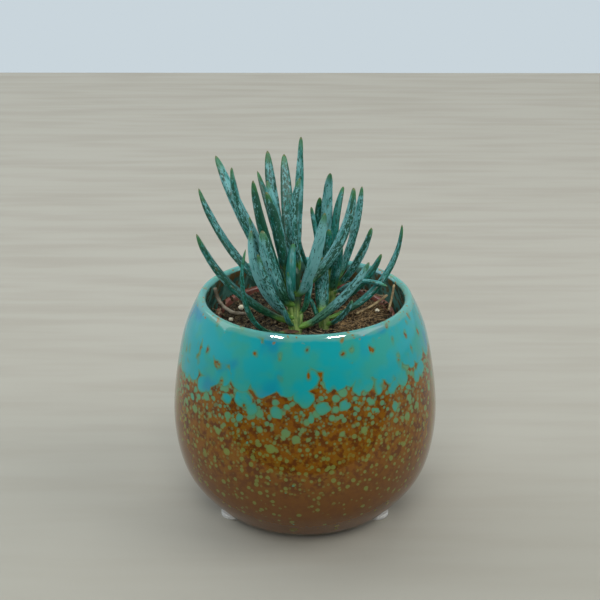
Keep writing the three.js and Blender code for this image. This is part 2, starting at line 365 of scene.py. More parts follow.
@dataclass(frozen=True)
class ReactiveGlaze:
    """Glossy turquoise glaze that breaks into blobs and then specks over a rust-brown ground."""

    rim_level: float
    edge_drop: float = 19.2
    edge_swing: float = 7.0
    sag: float = 3.6
    lip_depth: float = 1.0
    turquoise: Colour = (0.003, 0.275, 0.305)
    sea_green: Colour = (0.018, 0.270, 0.235)
    deep_blue: Colour = (0.002, 0.200, 0.300)
    blob_green: Colour = (0.075, 0.240, 0.125)
    speck_green: Colour = (0.150, 0.185, 0.036)
    halo: Colour = (0.070, 0.180, 0.060)
    rust: Colour = (0.175, 0.060, 0.001)
    dark_rust: Colour = (0.090, 0.025, 0.001)
    gold: Colour = (0.175, 0.085, 0.002)
    brown: Colour = (0.125, 0.046, 0.006)
    # pale_lip: thin glaze on the rim, with a painted highlight in it
    pale_lip: Colour = (0.170, 0.330, 0.235)
    ochre: Colour = (0.215, 0.110, 0.006)

    def make(self) -> bpy.types.Material:
        """Builds the material for the outside of the pot.

        Returns:
            The material.
        """
        g = Graph("reactive_glaze")
        p = g.place()
        level = p.part("Z") - self.rim_level
        drift = (g.noise(p, 5.0, 1.0, 0.5, 1) - 0.5) * 3.2
        q = p + drift
        swing = (g.noise(p, 24.0, 1.0) - 0.5) * self.edge_swing * 2.0
        beside = (p.part("X") + 8.0) / 13.0
        front = p.part("Y").step(10.0, -10.0)
        above = level + self.edge_drop + swing + front * self.sag / (beside * beside + 1.0)

        # turquoise cover: grows together above the edge, breaks into blobs below it
        reach = above.curve([(-12, 0.05), (-7, 0.30), (-2, 0.50), (1.5, 0.66), (5, 0.82), (14, 0.95)])
        reach = reach + (g.noise(p, 7.0, 2.0) - 0.5) * 0.26
        spread = g.cells(q, 6.4)
        margin = reach - spread
        fleck, ring = self._flecks(g, q, p.part("X"))
        cover = margin.step(-0.02, 0.02) * (1 - fleck)

        # middle blobs and small specks, thinning towards the foot
        near = p + drift * 0.25
        few = [(-45, 0.0), (-24, 0.10), (-10, 0.5), (0, 1.0), (4, 1)]
        many = [(-60, 0.0), (-44, 0.30), (-24, 0.85), (-12, 1), (4, 1)]
        finest = [(-56, 0.0), (-36, 0.2), (-20, 0.7), (-6, 1), (4, 1)]
        blobs = self._dots(g, near, 4.0, above, few)
        specks = self._dots(g, near, 2.3, above, many)
        grains = self._dots(g, near + 31.0, 1.7, above, finest)

        patch = g.noise(p, 9.0, 2.0)
        teal = g.mix(patch.step(0.42, 0.62), self.turquoise, self.sea_green)
        teal = g.mix(g.noise(q, 13.0, 1.0).step(0.55, 0.72), teal, self.deep_blue)
        teal = g.mix(margin.step(0.14, 0.0) * 0.85, teal, self.halo)
        teal = g.mix(ring * 0.6, teal, self.halo)
        teal = g.mix(above.step(1.0, -9.0) * 0.75, teal, self.blob_green)

        lower = above.step(-22.0, -40.0)
        ground = g.mix(g.noise(p, 3.0, 3.0).step(0.36, 0.60), self.dark_rust, self.rust)
        ground = g.mix(g.noise(p, 1.5, 2.0).step(0.48, 0.64) * 0.7, ground, self.gold)
        ground = g.mix(lower * 0.85, ground, self.brown)
        dot = g.mix(above.step(-22.0, -2.0), self.speck_green, self.blob_green)
        colour = g.mix(grains * 0.45, ground, dot)
        colour = g.mix(specks * 0.85, colour, dot)
        colour = g.mix(blobs, colour, dot)
        colour = g.mix(cover, colour, teal)

        # the lip: paler where the glaze has run thin, together with a painted highlight along the rim
        lip = (level + g.noise(p, 6.0, 2.0) * 1.6).step(-self.lip_depth - 0.6, -0.4)
        colour = g.mix(lip * 0.45, colour, self.pale_lip)
        upper = (level + g.noise(p, 4.0, 2.0) * 2.0).step(-3.2, -1.4)
        spot = g.cells(p + drift * 2.0, 3.4).step(0.27, 0.12) * upper
        colour = g.mix(spot * 0.85, colour, self.ochre)

        broken = above.step(8.0, 0.0)
        ripple = g.noise(p, 11.0, 1.0) * 0.12 + (cover * 0.25 + blobs * 0.2 + specks * 0.1) * broken
        normal = g.bump(ripple, 0.22, 0.55)
        return g.surface(
            Base_Color=colour,
            Roughness=g.noise(p, 8.0, 2.0) * 0.04 + 0.04,
            Normal=normal,
            IOR=1.46,
        )

    @staticmethod
    def _flecks(g: Graph, q: Wire, across: Wire) -> tuple[Wire, Wire]:
        """Small upright gaps where the rust ground shows through the turquoise.

        Args:
            g: the material.
            q: where they are read, in millimetres.
            across: the place from left to right, for there are more of them on the right.

        Returns:
            1 in a fleck, and 1 in a fleck and the greenish ring round it.
        """
        upright = g.stretch(q + 57.0, 1.0, 1.0, 0.6)
        chance = g.cells(upright, 4.4, "Color")
        present = (across.step(0.0, 20.0) * 0.30 + 0.30 - chance.part("X")).step(-0.02, 0.02)
        distance = g.cells(upright, 4.4)
        radius = chance.part("Y") * 0.12 + 0.10
        inside = radius - distance
        return inside.step(-0.03, 0.03) * present, inside.step(-0.2, 0.0) * present

    @staticmethod
    def _dots(g: Graph, q: Wire, size: float, above: Wire, stops: list[tuple[float, float]]) -> Wire:
        """Round dots of one size, fewer and smaller towards the foot.

        Args:
            g: the material.
            q: where the dots are read, in millimetres.
            size: their spacing.
            above: height above the edge of the turquoise.
            stops: share of the cells that hold a dot, by that height.

        Returns:
            1 on a dot and 0 between them.
        """
        chance = g.cells(q, size, "Color")
        present = (above.curve(stops) - chance.part("X")).step(-0.03, 0.03)
        radius = chance.part("Y") * 0.20 + 0.22
        return (radius - g.cells(q, size)).step(-0.08, 0.08) * present


@dataclass(frozen=True)
class InnerGlaze:
    """Dark green glaze on the inside of the pot."""

    dark: Colour = (0.050, 0.125, 0.095)
    light: Colour = (0.130, 0.330, 0.265)
    rust: Colour = (0.150, 0.075, 0.018)

    def make(self) -> bpy.types.Material:
        """Builds the material."""
        g = Graph("inner_glaze")
        p = g.place()
        runs = g.noise(g.stretch(p, 1.0, 1.0, 0.3), 3.4, 3.0)
        colour = g.mix(runs.step(0.40, 0.60), self.dark, self.light)
        rusty = g.noise(g.stretch(p, 1.0, 1.0, 0.45) + 50.0, 2.6, 3.0).step(0.48, 0.58)
        colour = g.mix(rusty * 0.8, colour, self.rust)
        return g.surface(
            Base_Color=colour,
            Roughness=g.noise(p, 4.0) * 0.1 + 0.12,
            Normal=g.bump(g.noise(p, 5.0, 2.0), 0.2, 0.4),
        )


@dataclass(frozen=True)
class BareClay:
    """Unglazed fired clay under the foot."""

    light: Colour = (0.42, 0.31, 0.22)
    dark: Colour = (0.27, 0.18, 0.12)

    def make(self) -> bpy.types.Material:
        """Builds the material."""
        g = Graph("bare_clay")
        p = g.place()
        grit = g.noise(p, 0.8, 4.0, 0.7)
        return g.surface(
            Base_Color=g.mix(grit.step(0.35, 0.7), self.light, self.dark),
            Roughness=grit * 0.15 + 0.78,
            Normal=g.bump(grit, 0.15, 0.6),
        )


@dataclass(frozen=True)
class PadFoam:
    """White closed-cell foam of the stick-on pads."""

    white: Colour = (0.62, 0.62, 0.60)
    shade: Colour = (0.42, 0.42, 0.40)

    def make(self) -> bpy.types.Material:
        """Builds the material."""
        g = Graph("pad_foam")
        p = g.place()
        pores = g.cells(p, 0.32)
        return g.surface(
            Base_Color=g.mix(pores.step(0.2, 0.75), self.shade, self.white),
            Roughness=g.noise(p, 1.5) * 0.1 + 0.75,
            Normal=g.bump(pores, 0.06, 0.7),
        )


@dataclass(frozen=True)
class NurseryPlastic:
    """Thin red-brown plastic, dusty with dried peat water."""

    red: Colour = (0.150, 0.036, 0.022)
    worn: Colour = (0.250, 0.090, 0.062)
    dust: Colour = (0.120, 0.085, 0.055)

    def make(self) -> bpy.types.Material:
        """Builds the material."""
        g = Graph("red_plastic")
        p = g.place()
        colour = g.mix(g.noise(p, 5.0, 3.0).step(0.4, 0.7), self.red, self.worn)
        dusty = g.noise(g.stretch(p, 1.0, 1.0, 0.3), 1.6, 5.0, 0.7).step(0.5, 0.66)
        return g.surface(
            Base_Color=g.mix(dusty * 0.75, colour, self.dust),
            Roughness=dusty * 0.4 + 0.36,
            Normal=g.bump(g.noise(p, 0.5, 3.0), 0.05, 0.5),
        )


@dataclass(frozen=True)
class Peat:
    """Moist dark peat with paler crumbs and fibres in it."""

    name: str = "peat"
    black: Colour = (0.0030, 0.0022, 0.0010)
    dark: Colour = (0.026, 0.019, 0.008)
    brown: Colour = (0.110, 0.078, 0.034)
    straw: Colour = (0.340, 0.280, 0.130)

    def make(self) -> bpy.types.Material:
        """Builds the material."""
        g = Graph(self.name)
        p = g.place()
        clod = g.noise(p, 1.7, 5.0, 0.65)
        colour = g.mix(clod.step(0.42, 0.56), self.black, self.dark)
        colour = g.mix(g.noise(p, 0.9, 4.0, 0.7).step(0.50, 0.64), colour, self.brown)
        hair = g.noise(g.stretch(p, 2.4, 0.35, 1.0), 0.8, 3.0, 0.6).step(0.64, 0.72)
        colour = g.mix(hair * 0.7, colour, self.straw)
        return g.surface(
            Base_Color=colour,
            Roughness=clod * 0.25 + 0.68,
            Specular_IOR_Level=0.12,
            Normal=g.bump(clod, 0.9, 0.9),
        )


@dataclass(frozen=True)
class DryFibre:
    """Dry plant matter: roots, straw, twigs and scales, with a grain and a few darker joints."""

    name: str
    light: Colour
    dark: Colour
    grain: float = 0.35
    roughness: float = 0.78
    patch: float = 2.6

    def make(self) -> bpy.types.Material:
        """Builds the material."""
        g = Graph(self.name)
        p = g.place()
        tone = g.noise(p, self.patch, 3.0, 0.6)
        fleck = g.noise(p, self.grain, 3.0, 0.6)
        colour = g.mix(tone.step(0.35, 0.65), self.dark, self.light)
        colour = g.mix(fleck.step(0.58, 0.72) * 0.6, colour, self.dark)
        return g.surface(
            Base_Color=colour,
            Roughness=fleck * 0.2 + self.roughness - 0.1,
            Specular_IOR_Level=0.15,
            Normal=g.bump(fleck, 0.12, 0.8),
        )


@dataclass(frozen=True)
class PerliteFoam:
    """Blown glass grains, chalky and full of pores."""

    white: Colour = (0.55, 0.50, 0.36)
    pore: Colour = (0.20, 0.16, 0.09)

    def make(self) -> bpy.types.Material:
        """Builds the material."""
        g = Graph("perlite")
        p = g.place()
        pores = g.cells(p, 0.38)
        stain = g.noise(p, 1.1, 3.0).step(0.5, 0.75)
        colour = g.mix(pores.step(0.32, 0.12), self.white, self.pore)
        return g.surface(
            Base_Color=g.mix(stain * 0.6, colour, self.pore),
            Roughness=stain * 0.1 + 0.8,
            Normal=g.bump(pores, 0.14, 0.9),
        )


@dataclass(frozen=True)
class StemSkin:
    """Ribbed stem, yellow-green at the foot; higher up, between the leaves, painted shade turns it dark
    green.
    """

    ground: float
    pale_rise: float
    light: Colour = (0.250, 0.350, 0.085)
    green: Colour = (0.075, 0.165, 0.030)
    scar: Colour = (0.050, 0.065, 0.015)
    # painted shade: the dark green the stem takes higher up, among the leaves
    shaded: Colour = (0.012, 0.050, 0.022)

    def make(self) -> bpy.types.Material:
        """Builds the material."""
        g = Graph("stem_skin")
        p = g.place()
        streak = g.noise(g.stretch(p, 1.0, 1.0, 0.25), 0.7, 3.0)
        colour = g.mix(streak.step(0.35, 0.65), self.green, self.light)
        scars = g.cells(g.stretch(p, 0.6, 0.6, 1.0), 2.2).step(0.26, 0.12)
        colour = g.mix(scars * 0.6, colour, self.scar)
        # painted shade: above its pale foot the stem darkens to the shaded colour, standing in for the shade
        # the leaves cast on it
        rise = (p.part("Z") - self.ground) / self.pale_rise + (streak - 0.5) * 0.4
        return g.surface(
            Base_Color=g.mix(rise.step(0.65, 1.05), colour, self.shaded),
            Roughness=streak * 0.1 + 0.42,
            Normal=g.bump(streak + scars * 0.4, 0.12, 0.6),
        )


@dataclass(frozen=True)
class LeafSkin:
    """Waxy succulent skin: blue-lilac bloom, rubbed dark green in streaks, green at foot and tip."""

    bloom: Colour = (0.150, 0.390, 0.400)
    teal: Colour = (0.018, 0.170, 0.145)
    green: Colour = (0.007, 0.050, 0.020)
    leafy: Colour = (0.030, 0.120, 0.030)
    foot: Colour = (0.150, 0.300, 0.050)
    tip: Colour = (0.040, 0.150, 0.045)
    point: Colour = (0.170, 0.110, 0.020)
    blotch: Colour = (0.130, 0.100, 0.020)

    def make(self) -> bpy.types.Material:
        """Builds the material.

        Returns:
            The material, which reads leaf_place, leaf_share, leaf_edge and leaf_traits from the mesh.
        """
        g = Graph("leaf_skin")
        at = g.attribute("leaf_place", "Vector")
        share = g.attribute("leaf_share")
        edge = g.attribute("leaf_edge")
        traits = g.attribute("leaf_traits", "Vector")
        waxy, rubbed, rooted = traits.part("X"), traits.part("Y"), traits.part("Z")

        cloud = g.noise(g.stretch(at, 0.50, 0.50, 0.20), 1.0, 2.0)
        streak = g.noise(g.stretch(at, 1.5, 1.5, 0.15), 1.0, 3.0, 0.6)
        fleck = g.noise(g.stretch(at, 1.7, 1.7, 0.75), 1.0, 3.0, 0.7)
        waxed = (cloud * 0.5 + streak * 0.5 + (waxy - 0.5) * 0.30).step(0.43, 0.60)
        bare = (fleck * 0.6 + streak * 0.4 + (rubbed - 0.5) * 0.20 + edge * 0.06).step(0.50, 0.57)

        colour = g.mix(waxed, self.teal, self.bloom)
        colour = g.mix(bare * 0.9, colour, self.green)
        uneven = (streak - 0.5) * 0.20
        low = (rooted * 0.62 - share + uneven).step(-0.08, 0.14)
        colour = g.mix(low * 0.75, colour, g.mix(bare, self.leafy, self.green))
        footed = (share + uneven * 0.5).step(0.15, 0.03)
        colour = g.mix(footed * 0.9, colour, self.foot)
        colour = g.mix((share + uneven * 0.5).step(0.87, 0.96) * 0.8, colour, self.tip)
        colour = g.mix(share.step(0.975, 0.992) * 0.5, colour, self.point)
        spot = g.cells(g.stretch(at, 0.30, 0.30, 0.14), 1.0).step(0.15, 0.08)
        colour = g.mix(spot * 0.35, colour, self.blotch)

        relief = g.noise(g.stretch(at, 3.2, 3.2, 0.12), 1.0, 2.0)
        return g.surface(
            Base_Color=colour,
            Roughness=bare * -0.16 + 0.54,
            Normal=g.bump(relief * 0.7 + waxed * 0.3, 0.12, 0.8),
            Specular_IOR_Level=0.1,
        )


@dataclass(frozen=True)
class FloorPaint:
    """Plain pale matt floor, with painted shade that darkens it towards the front."""

    colour: Colour = (0.362, 0.345, 0.300)
    shade: Colour = (0.330, 0.310, 0.266)
    # painted shade: the darker colour the floor takes towards the front
    near: Colour = (0.300, 0.290, 0.250)

    def make(self) -> bpy.types.Material:
        """Builds the material."""
        g = Graph("floor_paint")
        p = g.place()
        tone = g.noise(g.stretch(p, 0.12, 1.0, 1.0), 14.0, 3.0)
        colour = g.mix(tone.step(0.35, 0.7), self.colour, self.shade)
        # painted shade: the floor darkens towards the front, from 250 mm behind the middle to 250 mm in
        # front
        return g.surface(
            Base_Color=g.mix(p.part("Y").step(250.0, -250.0), colour, self.near),
            Roughness=tone * 0.1 + 0.7,
            Specular_IOR_Level=0.0,
        )


# ---- the workbench -------------------------------------------------------------------------------

FRAME_NODES: dict[str, bpy.types.Object] = {}


class Bench:
    """The moves on meshes that the pieces share."""

    @staticmethod
    def clear() -> None:
        """Leaves edit mode and deselects everything."""
        if bpy.context.mode != "OBJECT":
            bpy.ops.object.mode_set(mode="OBJECT")
        bpy.ops.object.select_all(action="DESELECT")
        bpy.context.view_layer.objects.active = None

    @staticmethod
    def take(*pieces: bpy.types.Object) -> bpy.types.Object:
        """Selects pieces alone and makes the first one active.

        Args:
            pieces: what to select.

        Returns:
            The first piece.
        """
        Bench.clear()
        for piece in pieces:
            piece.select_set(True)
        bpy.context.view_layer.objects.active = pieces[0]
        return pieces[0]

    @staticmethod
    def edit(piece: bpy.types.Object, mode: str = "VERT") -> None:
        """Opens a piece in edit mode with all of it selected.

        Args:
            piece: the piece.
            mode: VERT, EDGE or FACE.
        """
        Bench.take(piece)
        bpy.ops.object.mode_set(mode="EDIT")
        bpy.ops.mesh.select_mode(type=mode)
        bpy.ops.mesh.select_all(action="SELECT")

    @staticmethod
    def pick(piece: bpy.types.Object, mode: str, wanted: Callable[[Any], bool]) -> None:
        """Opens a piece in edit mode with only some of it selected.

        Args:
            piece: the piece.
            mode: VERT or FACE.
            wanted: says of a vertex or a face whether it is selected.
        """
        Bench.edit(piece, mode)
        bpy.ops.mesh.select_all(action="DESELECT")
        bpy.ops.object.mode_set(mode="OBJECT")
        for part in piece.data.polygons if mode == "FACE" else piece.data.vertices:
            part.select = wanted(part)
        bpy.ops.object.mode_set(mode="EDIT")

    @staticmethod
    def close(piece: bpy.types.Object, merge: float = 1e-7) -> bpy.types.Object:
        """Merges doubled vertices, turns the faces outwards and leaves edit mode.

        Args:
            piece: the piece.
            merge: how close two vertices are to become one, in metres.

        Returns:
            The piece.
        """
        Bench.edit(piece)
        bpy.ops.mesh.remove_doubles(threshold=merge)
        bpy.ops.mesh.normals_make_consistent(inside=False)
        bpy.ops.object.mode_set(mode="OBJECT")
        return piece

    @staticmethod
    def modify(piece: bpy.types.Object, kind: str, **settings: Any) -> bpy.types.Object:
        """Adds a modifier and applies it.

        Args:
            piece: the piece.
            kind: the modifier's type.
            settings: its properties.

        Returns:
            The piece.
        """
        Bench.take(piece)
        bpy.ops.object.modifier_add(type=kind)
        modifier = piece.modifiers[-1]
        for key, value in settings.items():
            setattr(modifier, key, value)
        bpy.ops.object.modifier_apply(modifier=modifier.name)
        return piece

    @staticmethod
    def soften(piece: bpy.types.Object, levels: int) -> bpy.types.Object:
        """Rounds a piece with a subdivision surface."""
        return Bench.modify(piece, "SUBSURF", levels=levels, render_levels=levels)

    @staticmethod
    def roughen(
        piece: bpy.types.Object,
        size: float,
        height: float,
        group: str = "",
        depth: int = 2,
    ) -> bpy.types.Object:
        """Pushes a surface in and out by cloudy noise.

        Args:
            piece: the piece.
            size: the size of the lumps, in metres.
            height: from the lowest to the highest, in metres.
            group: the vertex group that moves, or all of it.
            depth: how many finer layers the noise has.

        Returns:
            The piece.
        """
        cloud = bpy.data.textures.new(f"{piece.name}_lumps", "CLOUDS")
        cloud.noise_scale = size
        cloud.noise_depth = depth
        settings = {"texture": cloud, "strength": height, "vertex_group": group}
        return Bench.modify(piece, "DISPLACE", texture_coords="LOCAL", **settings)

    @staticmethod
    def place(
        piece: bpy.types.Object,
        at: Vector,
        turn: tuple[float, float, float] = (0, 0, 0),
        size: tuple[float, float, float] = (1, 1, 1),
    ) -> bpy.types.Object:
        """Scales, turns and moves a piece, and leaves its place in its mesh.

        Args:
            piece: the piece, whose object is at the origin.
            at: where its origin goes.
            turn: its turn about X, then Y, then Z, in radians.
            size: its scale along its own axes.

        Returns:
            The piece.
        """
        piece.matrix_world = Matrix.LocRotScale(at, Euler(turn), Vector(size))
        Bench.take(piece)
        bpy.ops.object.transform_apply(location=True, rotation=True, scale=True)
        return piece

    @staticmethod
    def copy(piece: bpy.types.Object, name: str) -> bpy.types.Object:
        """Copies a piece with a mesh of its own.

        Args:
            piece: the piece.
            name: the copy's name.

        Returns:
            The copy.
        """
        twin = piece.copy()
        twin.data = piece.data.copy()
        twin.name = name
        twin.data.name = name
        for key in list(twin.keys()):
            del twin[key]
        twin.parent = None
        twin.hide_render = False
        twin.hide_viewport = False
        bpy.context.scene.collection.objects.link(twin)
        return twin

    @staticmethod
    def drop(*pieces: bpy.types.Object) -> None:
        """Throws pieces away."""
        for piece in pieces:
            bpy.data.objects.remove(piece)

    @staticmethod
    def of_node(node: str, name: str) -> bpy.types.Object:
        """Copies a node of the frame and joins its loose triangles.

        Args:
            node: the node.
            name: the copy's name.

        Returns:
            The copy.
        """
        return Bench.close(Bench.copy(FRAME_NODES[node], name), 1e-6)

    @staticmethod
    def throw(name: str, outline: Outline, steps: int) -> bpy.types.Object:
        """Throws a round piece on the wheel: its outline is drawn point by point and spun about Z.

        Args:
            name: the piece's name.
            outline: radius and level of each point, in metres, from the foot of the axis outwards.
            steps: how many facets go round.

        Returns:
            The piece.
        """
        Bench.clear()
        first = Vector((outline[0][0], 0, outline[0][1]))
        bpy.ops.mesh.primitive_plane_add(size=MM, location=first)
        piece = bpy.context.object
        piece.name = piece.data.name = name
        bpy.ops.object.transform_apply(location=True)
        Bench.edit(piece)
        bpy.ops.mesh.merge(type="CENTER")
        for (r0, z0), (r1, z1) in zip(outline, outline[1:]):
            move = {"value": (r1 - r0, 0, z1 - z0)}
            bpy.ops.mesh.extrude_region_move(TRANSFORM_OT_translate=move)
        bpy.ops.mesh.select_all(action="SELECT")
        bpy.ops.mesh.spin(steps=steps, angle=math.tau, center=(0, 0, 0), axis=(0, 0, 1))
        return Bench.close(piece)

    @staticmethod
    def strew(
        name: str,
        blanks: Sequence[bpy.types.Object],
        places: Sequence[Matrix],
    ) -> bpy.types.Object:
        """Copies small blanks to many places and joins them into one piece.

        Args:
            name: the piece's name.
            blanks: the shapes, which are used in turn and thrown away afterwards.
            places: where each copy goes.

        Returns:
            The joined piece.
        """
        copies = []
        for index, place in enumerate(places):
            twin = Bench.copy(blanks[index % len(blanks)], f"{name}_{index}")
            twin.data.transform(place)
            copies.append(twin)
        Bench.take(*copies)
        bpy.ops.object.join()
        joined = bpy.context.object
        joined.name = joined.data.name = name
        Bench.drop(*blanks)
        return joined

    @staticmethod
    def smooth(piece: bpy.types.Object, angle: float = 40.0) -> bpy.types.Object:
        """Shades a piece smoothly, apart from edges sharper than an angle in degrees."""
        Bench.take(piece)
        bpy.ops.object.shade_smooth_by_angle(angle=math.radians(angle))
        return piece

    @staticmethod
    def finish(
        piece: bpy.types.Object,
        slot: Slot,
        materials: Sequence[bpy.types.Material],
        *nodes: str,
    ) -> bpy.types.Object:
        """Dresses a piece and hands it to the frame.

        Args:
            piece: the piece.
            slot: the record's finish meant for it; not used.
            materials: its materials, in the order of its faces' slots.
            nodes: the nodes of the frame that it stands for.

        Returns:
            The piece.
        """
        piece.data.materials.clear()
        for material in materials:
            piece.data.materials.append(material)
        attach(piece, ROOT)
        if nodes:
            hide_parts(*nodes)
        log.info("%s: %d faces", piece.name, len(piece.data.polygons))
        return piece


def middle(node: str) -> Vector:
    """The middle of a node's box."""
    low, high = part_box(node)
    return (low + high) / 2


def half_size(node: str) -> Vector:
    """Half the size of a node's box."""
    low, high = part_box(node)
    return (high - low) / 2


def polar(distance: float, angle: float, level: float) -> Vector:
    """A point at a distance from Z, at an angle round it and at a level."""
    return Vector((distance * math.cos(angle), distance * math.sin(angle), level))


def tumbled(at: Vector, size: float, rng: np.random.Generator) -> Matrix:
    """Where a piece lies that came to rest at a place any way round."""
    return Matrix.LocRotScale(at, Euler(rng.random(3) * math.tau), Vector((size, size, size)))


def stations(node: str) -> list[tuple[float, float, float]]:
    """The outline of a round node of the frame.

    Args:
        node: a node turned about Z.

    Returns:
        Level, smallest and largest radius of each ring of vertices, in metres, from the foot up.
    """
    places = sorted((v.co.z, math.hypot(v.co.x, v.co.y)) for v in FRAME_NODES[node].data.vertices)
    rings: list[list[tuple[float, float]]] = []
    for place in places:
        if not rings or place[0] - rings[-1][-1][0] > 0.02 * MM:
            rings.append([])
        rings[-1].append(place)
    return [(ring[0][0], min(r for _, r in ring), max(r for _, r in ring)) for ring in rings]


# ---- cover pot -----------------------------------------------------------------------------------


@dataclass
class CoverPot:
    """The ceramic pot: thrown on the wheel, with a rolled lip and a bare foot."""

    node: str = "ceramic_pot"
    facets: int = 64
    foot_bevel: float = 1.2 * MM
    foot_ring: float = 5.0 * MM
    foot_recess: float = 1.0 * MM
    lip_roll: tuple[float, float] = (0.8 * MM, 2.0 * MM)
    glazed_lip: float = 1.2 * MM
    inside_from: float = 3.0 * MM

    def outline(self) -> Outline:
        """The outline of the wall, from the middle of the underside out and round to the inside.

        Returns:
            Radius and level of each point.
        """
        rings = stations(self.node)
        low, foot = rings[0][0], rings[0][2]
        floor, _, corner = next(ring for ring in rings[1:] if ring[1] < MM)
        walls = [ring for ring in rings[1:] if ring[0] != floor]
        top, (near, far) = rings[-1][0], self.lip_roll
        outer = [(largest, level) for level, _, largest in walls if not near < top - level < far]
        inner = [(smallest, level) for level, smallest, largest in walls if largest - smallest > MM / 2]
        recess = low + self.foot_recess
        ring = foot - self.foot_ring
        under = [(0.0, recess), (ring - self.foot_recess, recess), (ring, low)]
        under += [(foot - self.foot_bevel, low), (foot - 0.1 * MM, low + self.foot_bevel / 2)]
        return under + outer + list(reversed(inner)) + [(corner, floor), (0.5 * corner, floor), (0.0, floor)]

    def build(self) -> bpy.types.Object:
        """Throws the pot and glazes it.

        Returns:
            The finished pot.
        """
        low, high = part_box(self.node)
        pot = Bench.throw("cover_pot", self.outline(), self.facets)
        Bench.soften(pot, 2)
        Bench.smooth(pot, 60)
        glaze = ReactiveGlaze(rim_level=high.z / MM)
        finishes = [glaze.make(), InnerGlaze().make(), BareClay().make()]
        outside, inside, underside = range(len(finishes))
        Bench.finish(pot, Slot.GLAZE, finishes, self.node)
        for face in pot.data.polygons:
            centre, normal = face.center, face.normal
            inwards = centre.x * normal.x + centre.y * normal.y < 0 or normal.z > 0.95
            face.material_index = outside
            if centre.z < low.z + self.foot_bevel and normal.z < -0.3:
                face.material_index = underside
            elif low.z + self.inside_from < centre.z < high.z - self.glazed_lip and inwards:
                face.material_index = inside
        return pot


@dataclass
class BasePads:
    """The three stick-on foam pads under the foot."""

    nodes: tuple[str, ...] = ("base_pad_left", "base_pad_right", "base_pad_back")
    edge: float = 0.35 * MM
    sides: int = 48

    def build(self) -> list[bpy.types.Object]:
        """Stamps one pad and sticks a copy of it in each place.

        Returns:
            The pads.
        """
        size = half_size(self.nodes[0])
        Bench.clear()
        bpy.ops.mesh.primitive_cylinder_add(
            vertices=self.sides, radius=size.x, depth=2 * size.z, end_fill_type="NGON"
        )
        blank = bpy.context.object
        Bench.pick(blank, "FACE", lambda face: abs(face.normal.z) > 0.9)
        bpy.ops.mesh.inset(thickness=self.edge)
        bpy.ops.mesh.inset(thickness=size.x * 0.5)
        bpy.ops.object.mode_set(mode="OBJECT")
        Bench.modify(blank, "BEVEL", width=self.edge, segments=3, angle_limit=math.radians(50))
        Bench.smooth(blank, 35)
        foam = PadFoam().make()
        pads = []
        for node in self.nodes:
            pad = Bench.place(Bench.copy(blank, node.replace("base_", "") + "_foam"), middle(node))
            pads.append(Bench.finish(pad, Slot.PAD, [foam], node))
        Bench.drop(blank)
        return pads


# ---- nursery pot and soil ------------------------------------------------------------------------


@dataclass
class NurseryPot:
    """The thin plastic pot that the plant is sold in."""

    node: str = "nursery_pot"
    rim_round: float = 0.22 * MM

    def build(self) -> bpy.types.Object:
        """Copies the pot, rounds its rim and dresses it.

        Returns:
            The finished pot.
        """
        pot = Bench.of_node(self.node, "nursery_pot_shell")
        Bench.modify(
            pot, "BEVEL", width=self.rim_round, segments=2, limit_method="ANGLE", angle_limit=0.6
        )
        Bench.smooth(pot, 35)
        return Bench.finish(pot, Slot.PLASTIC, [NurseryPlastic().make()], self.node)


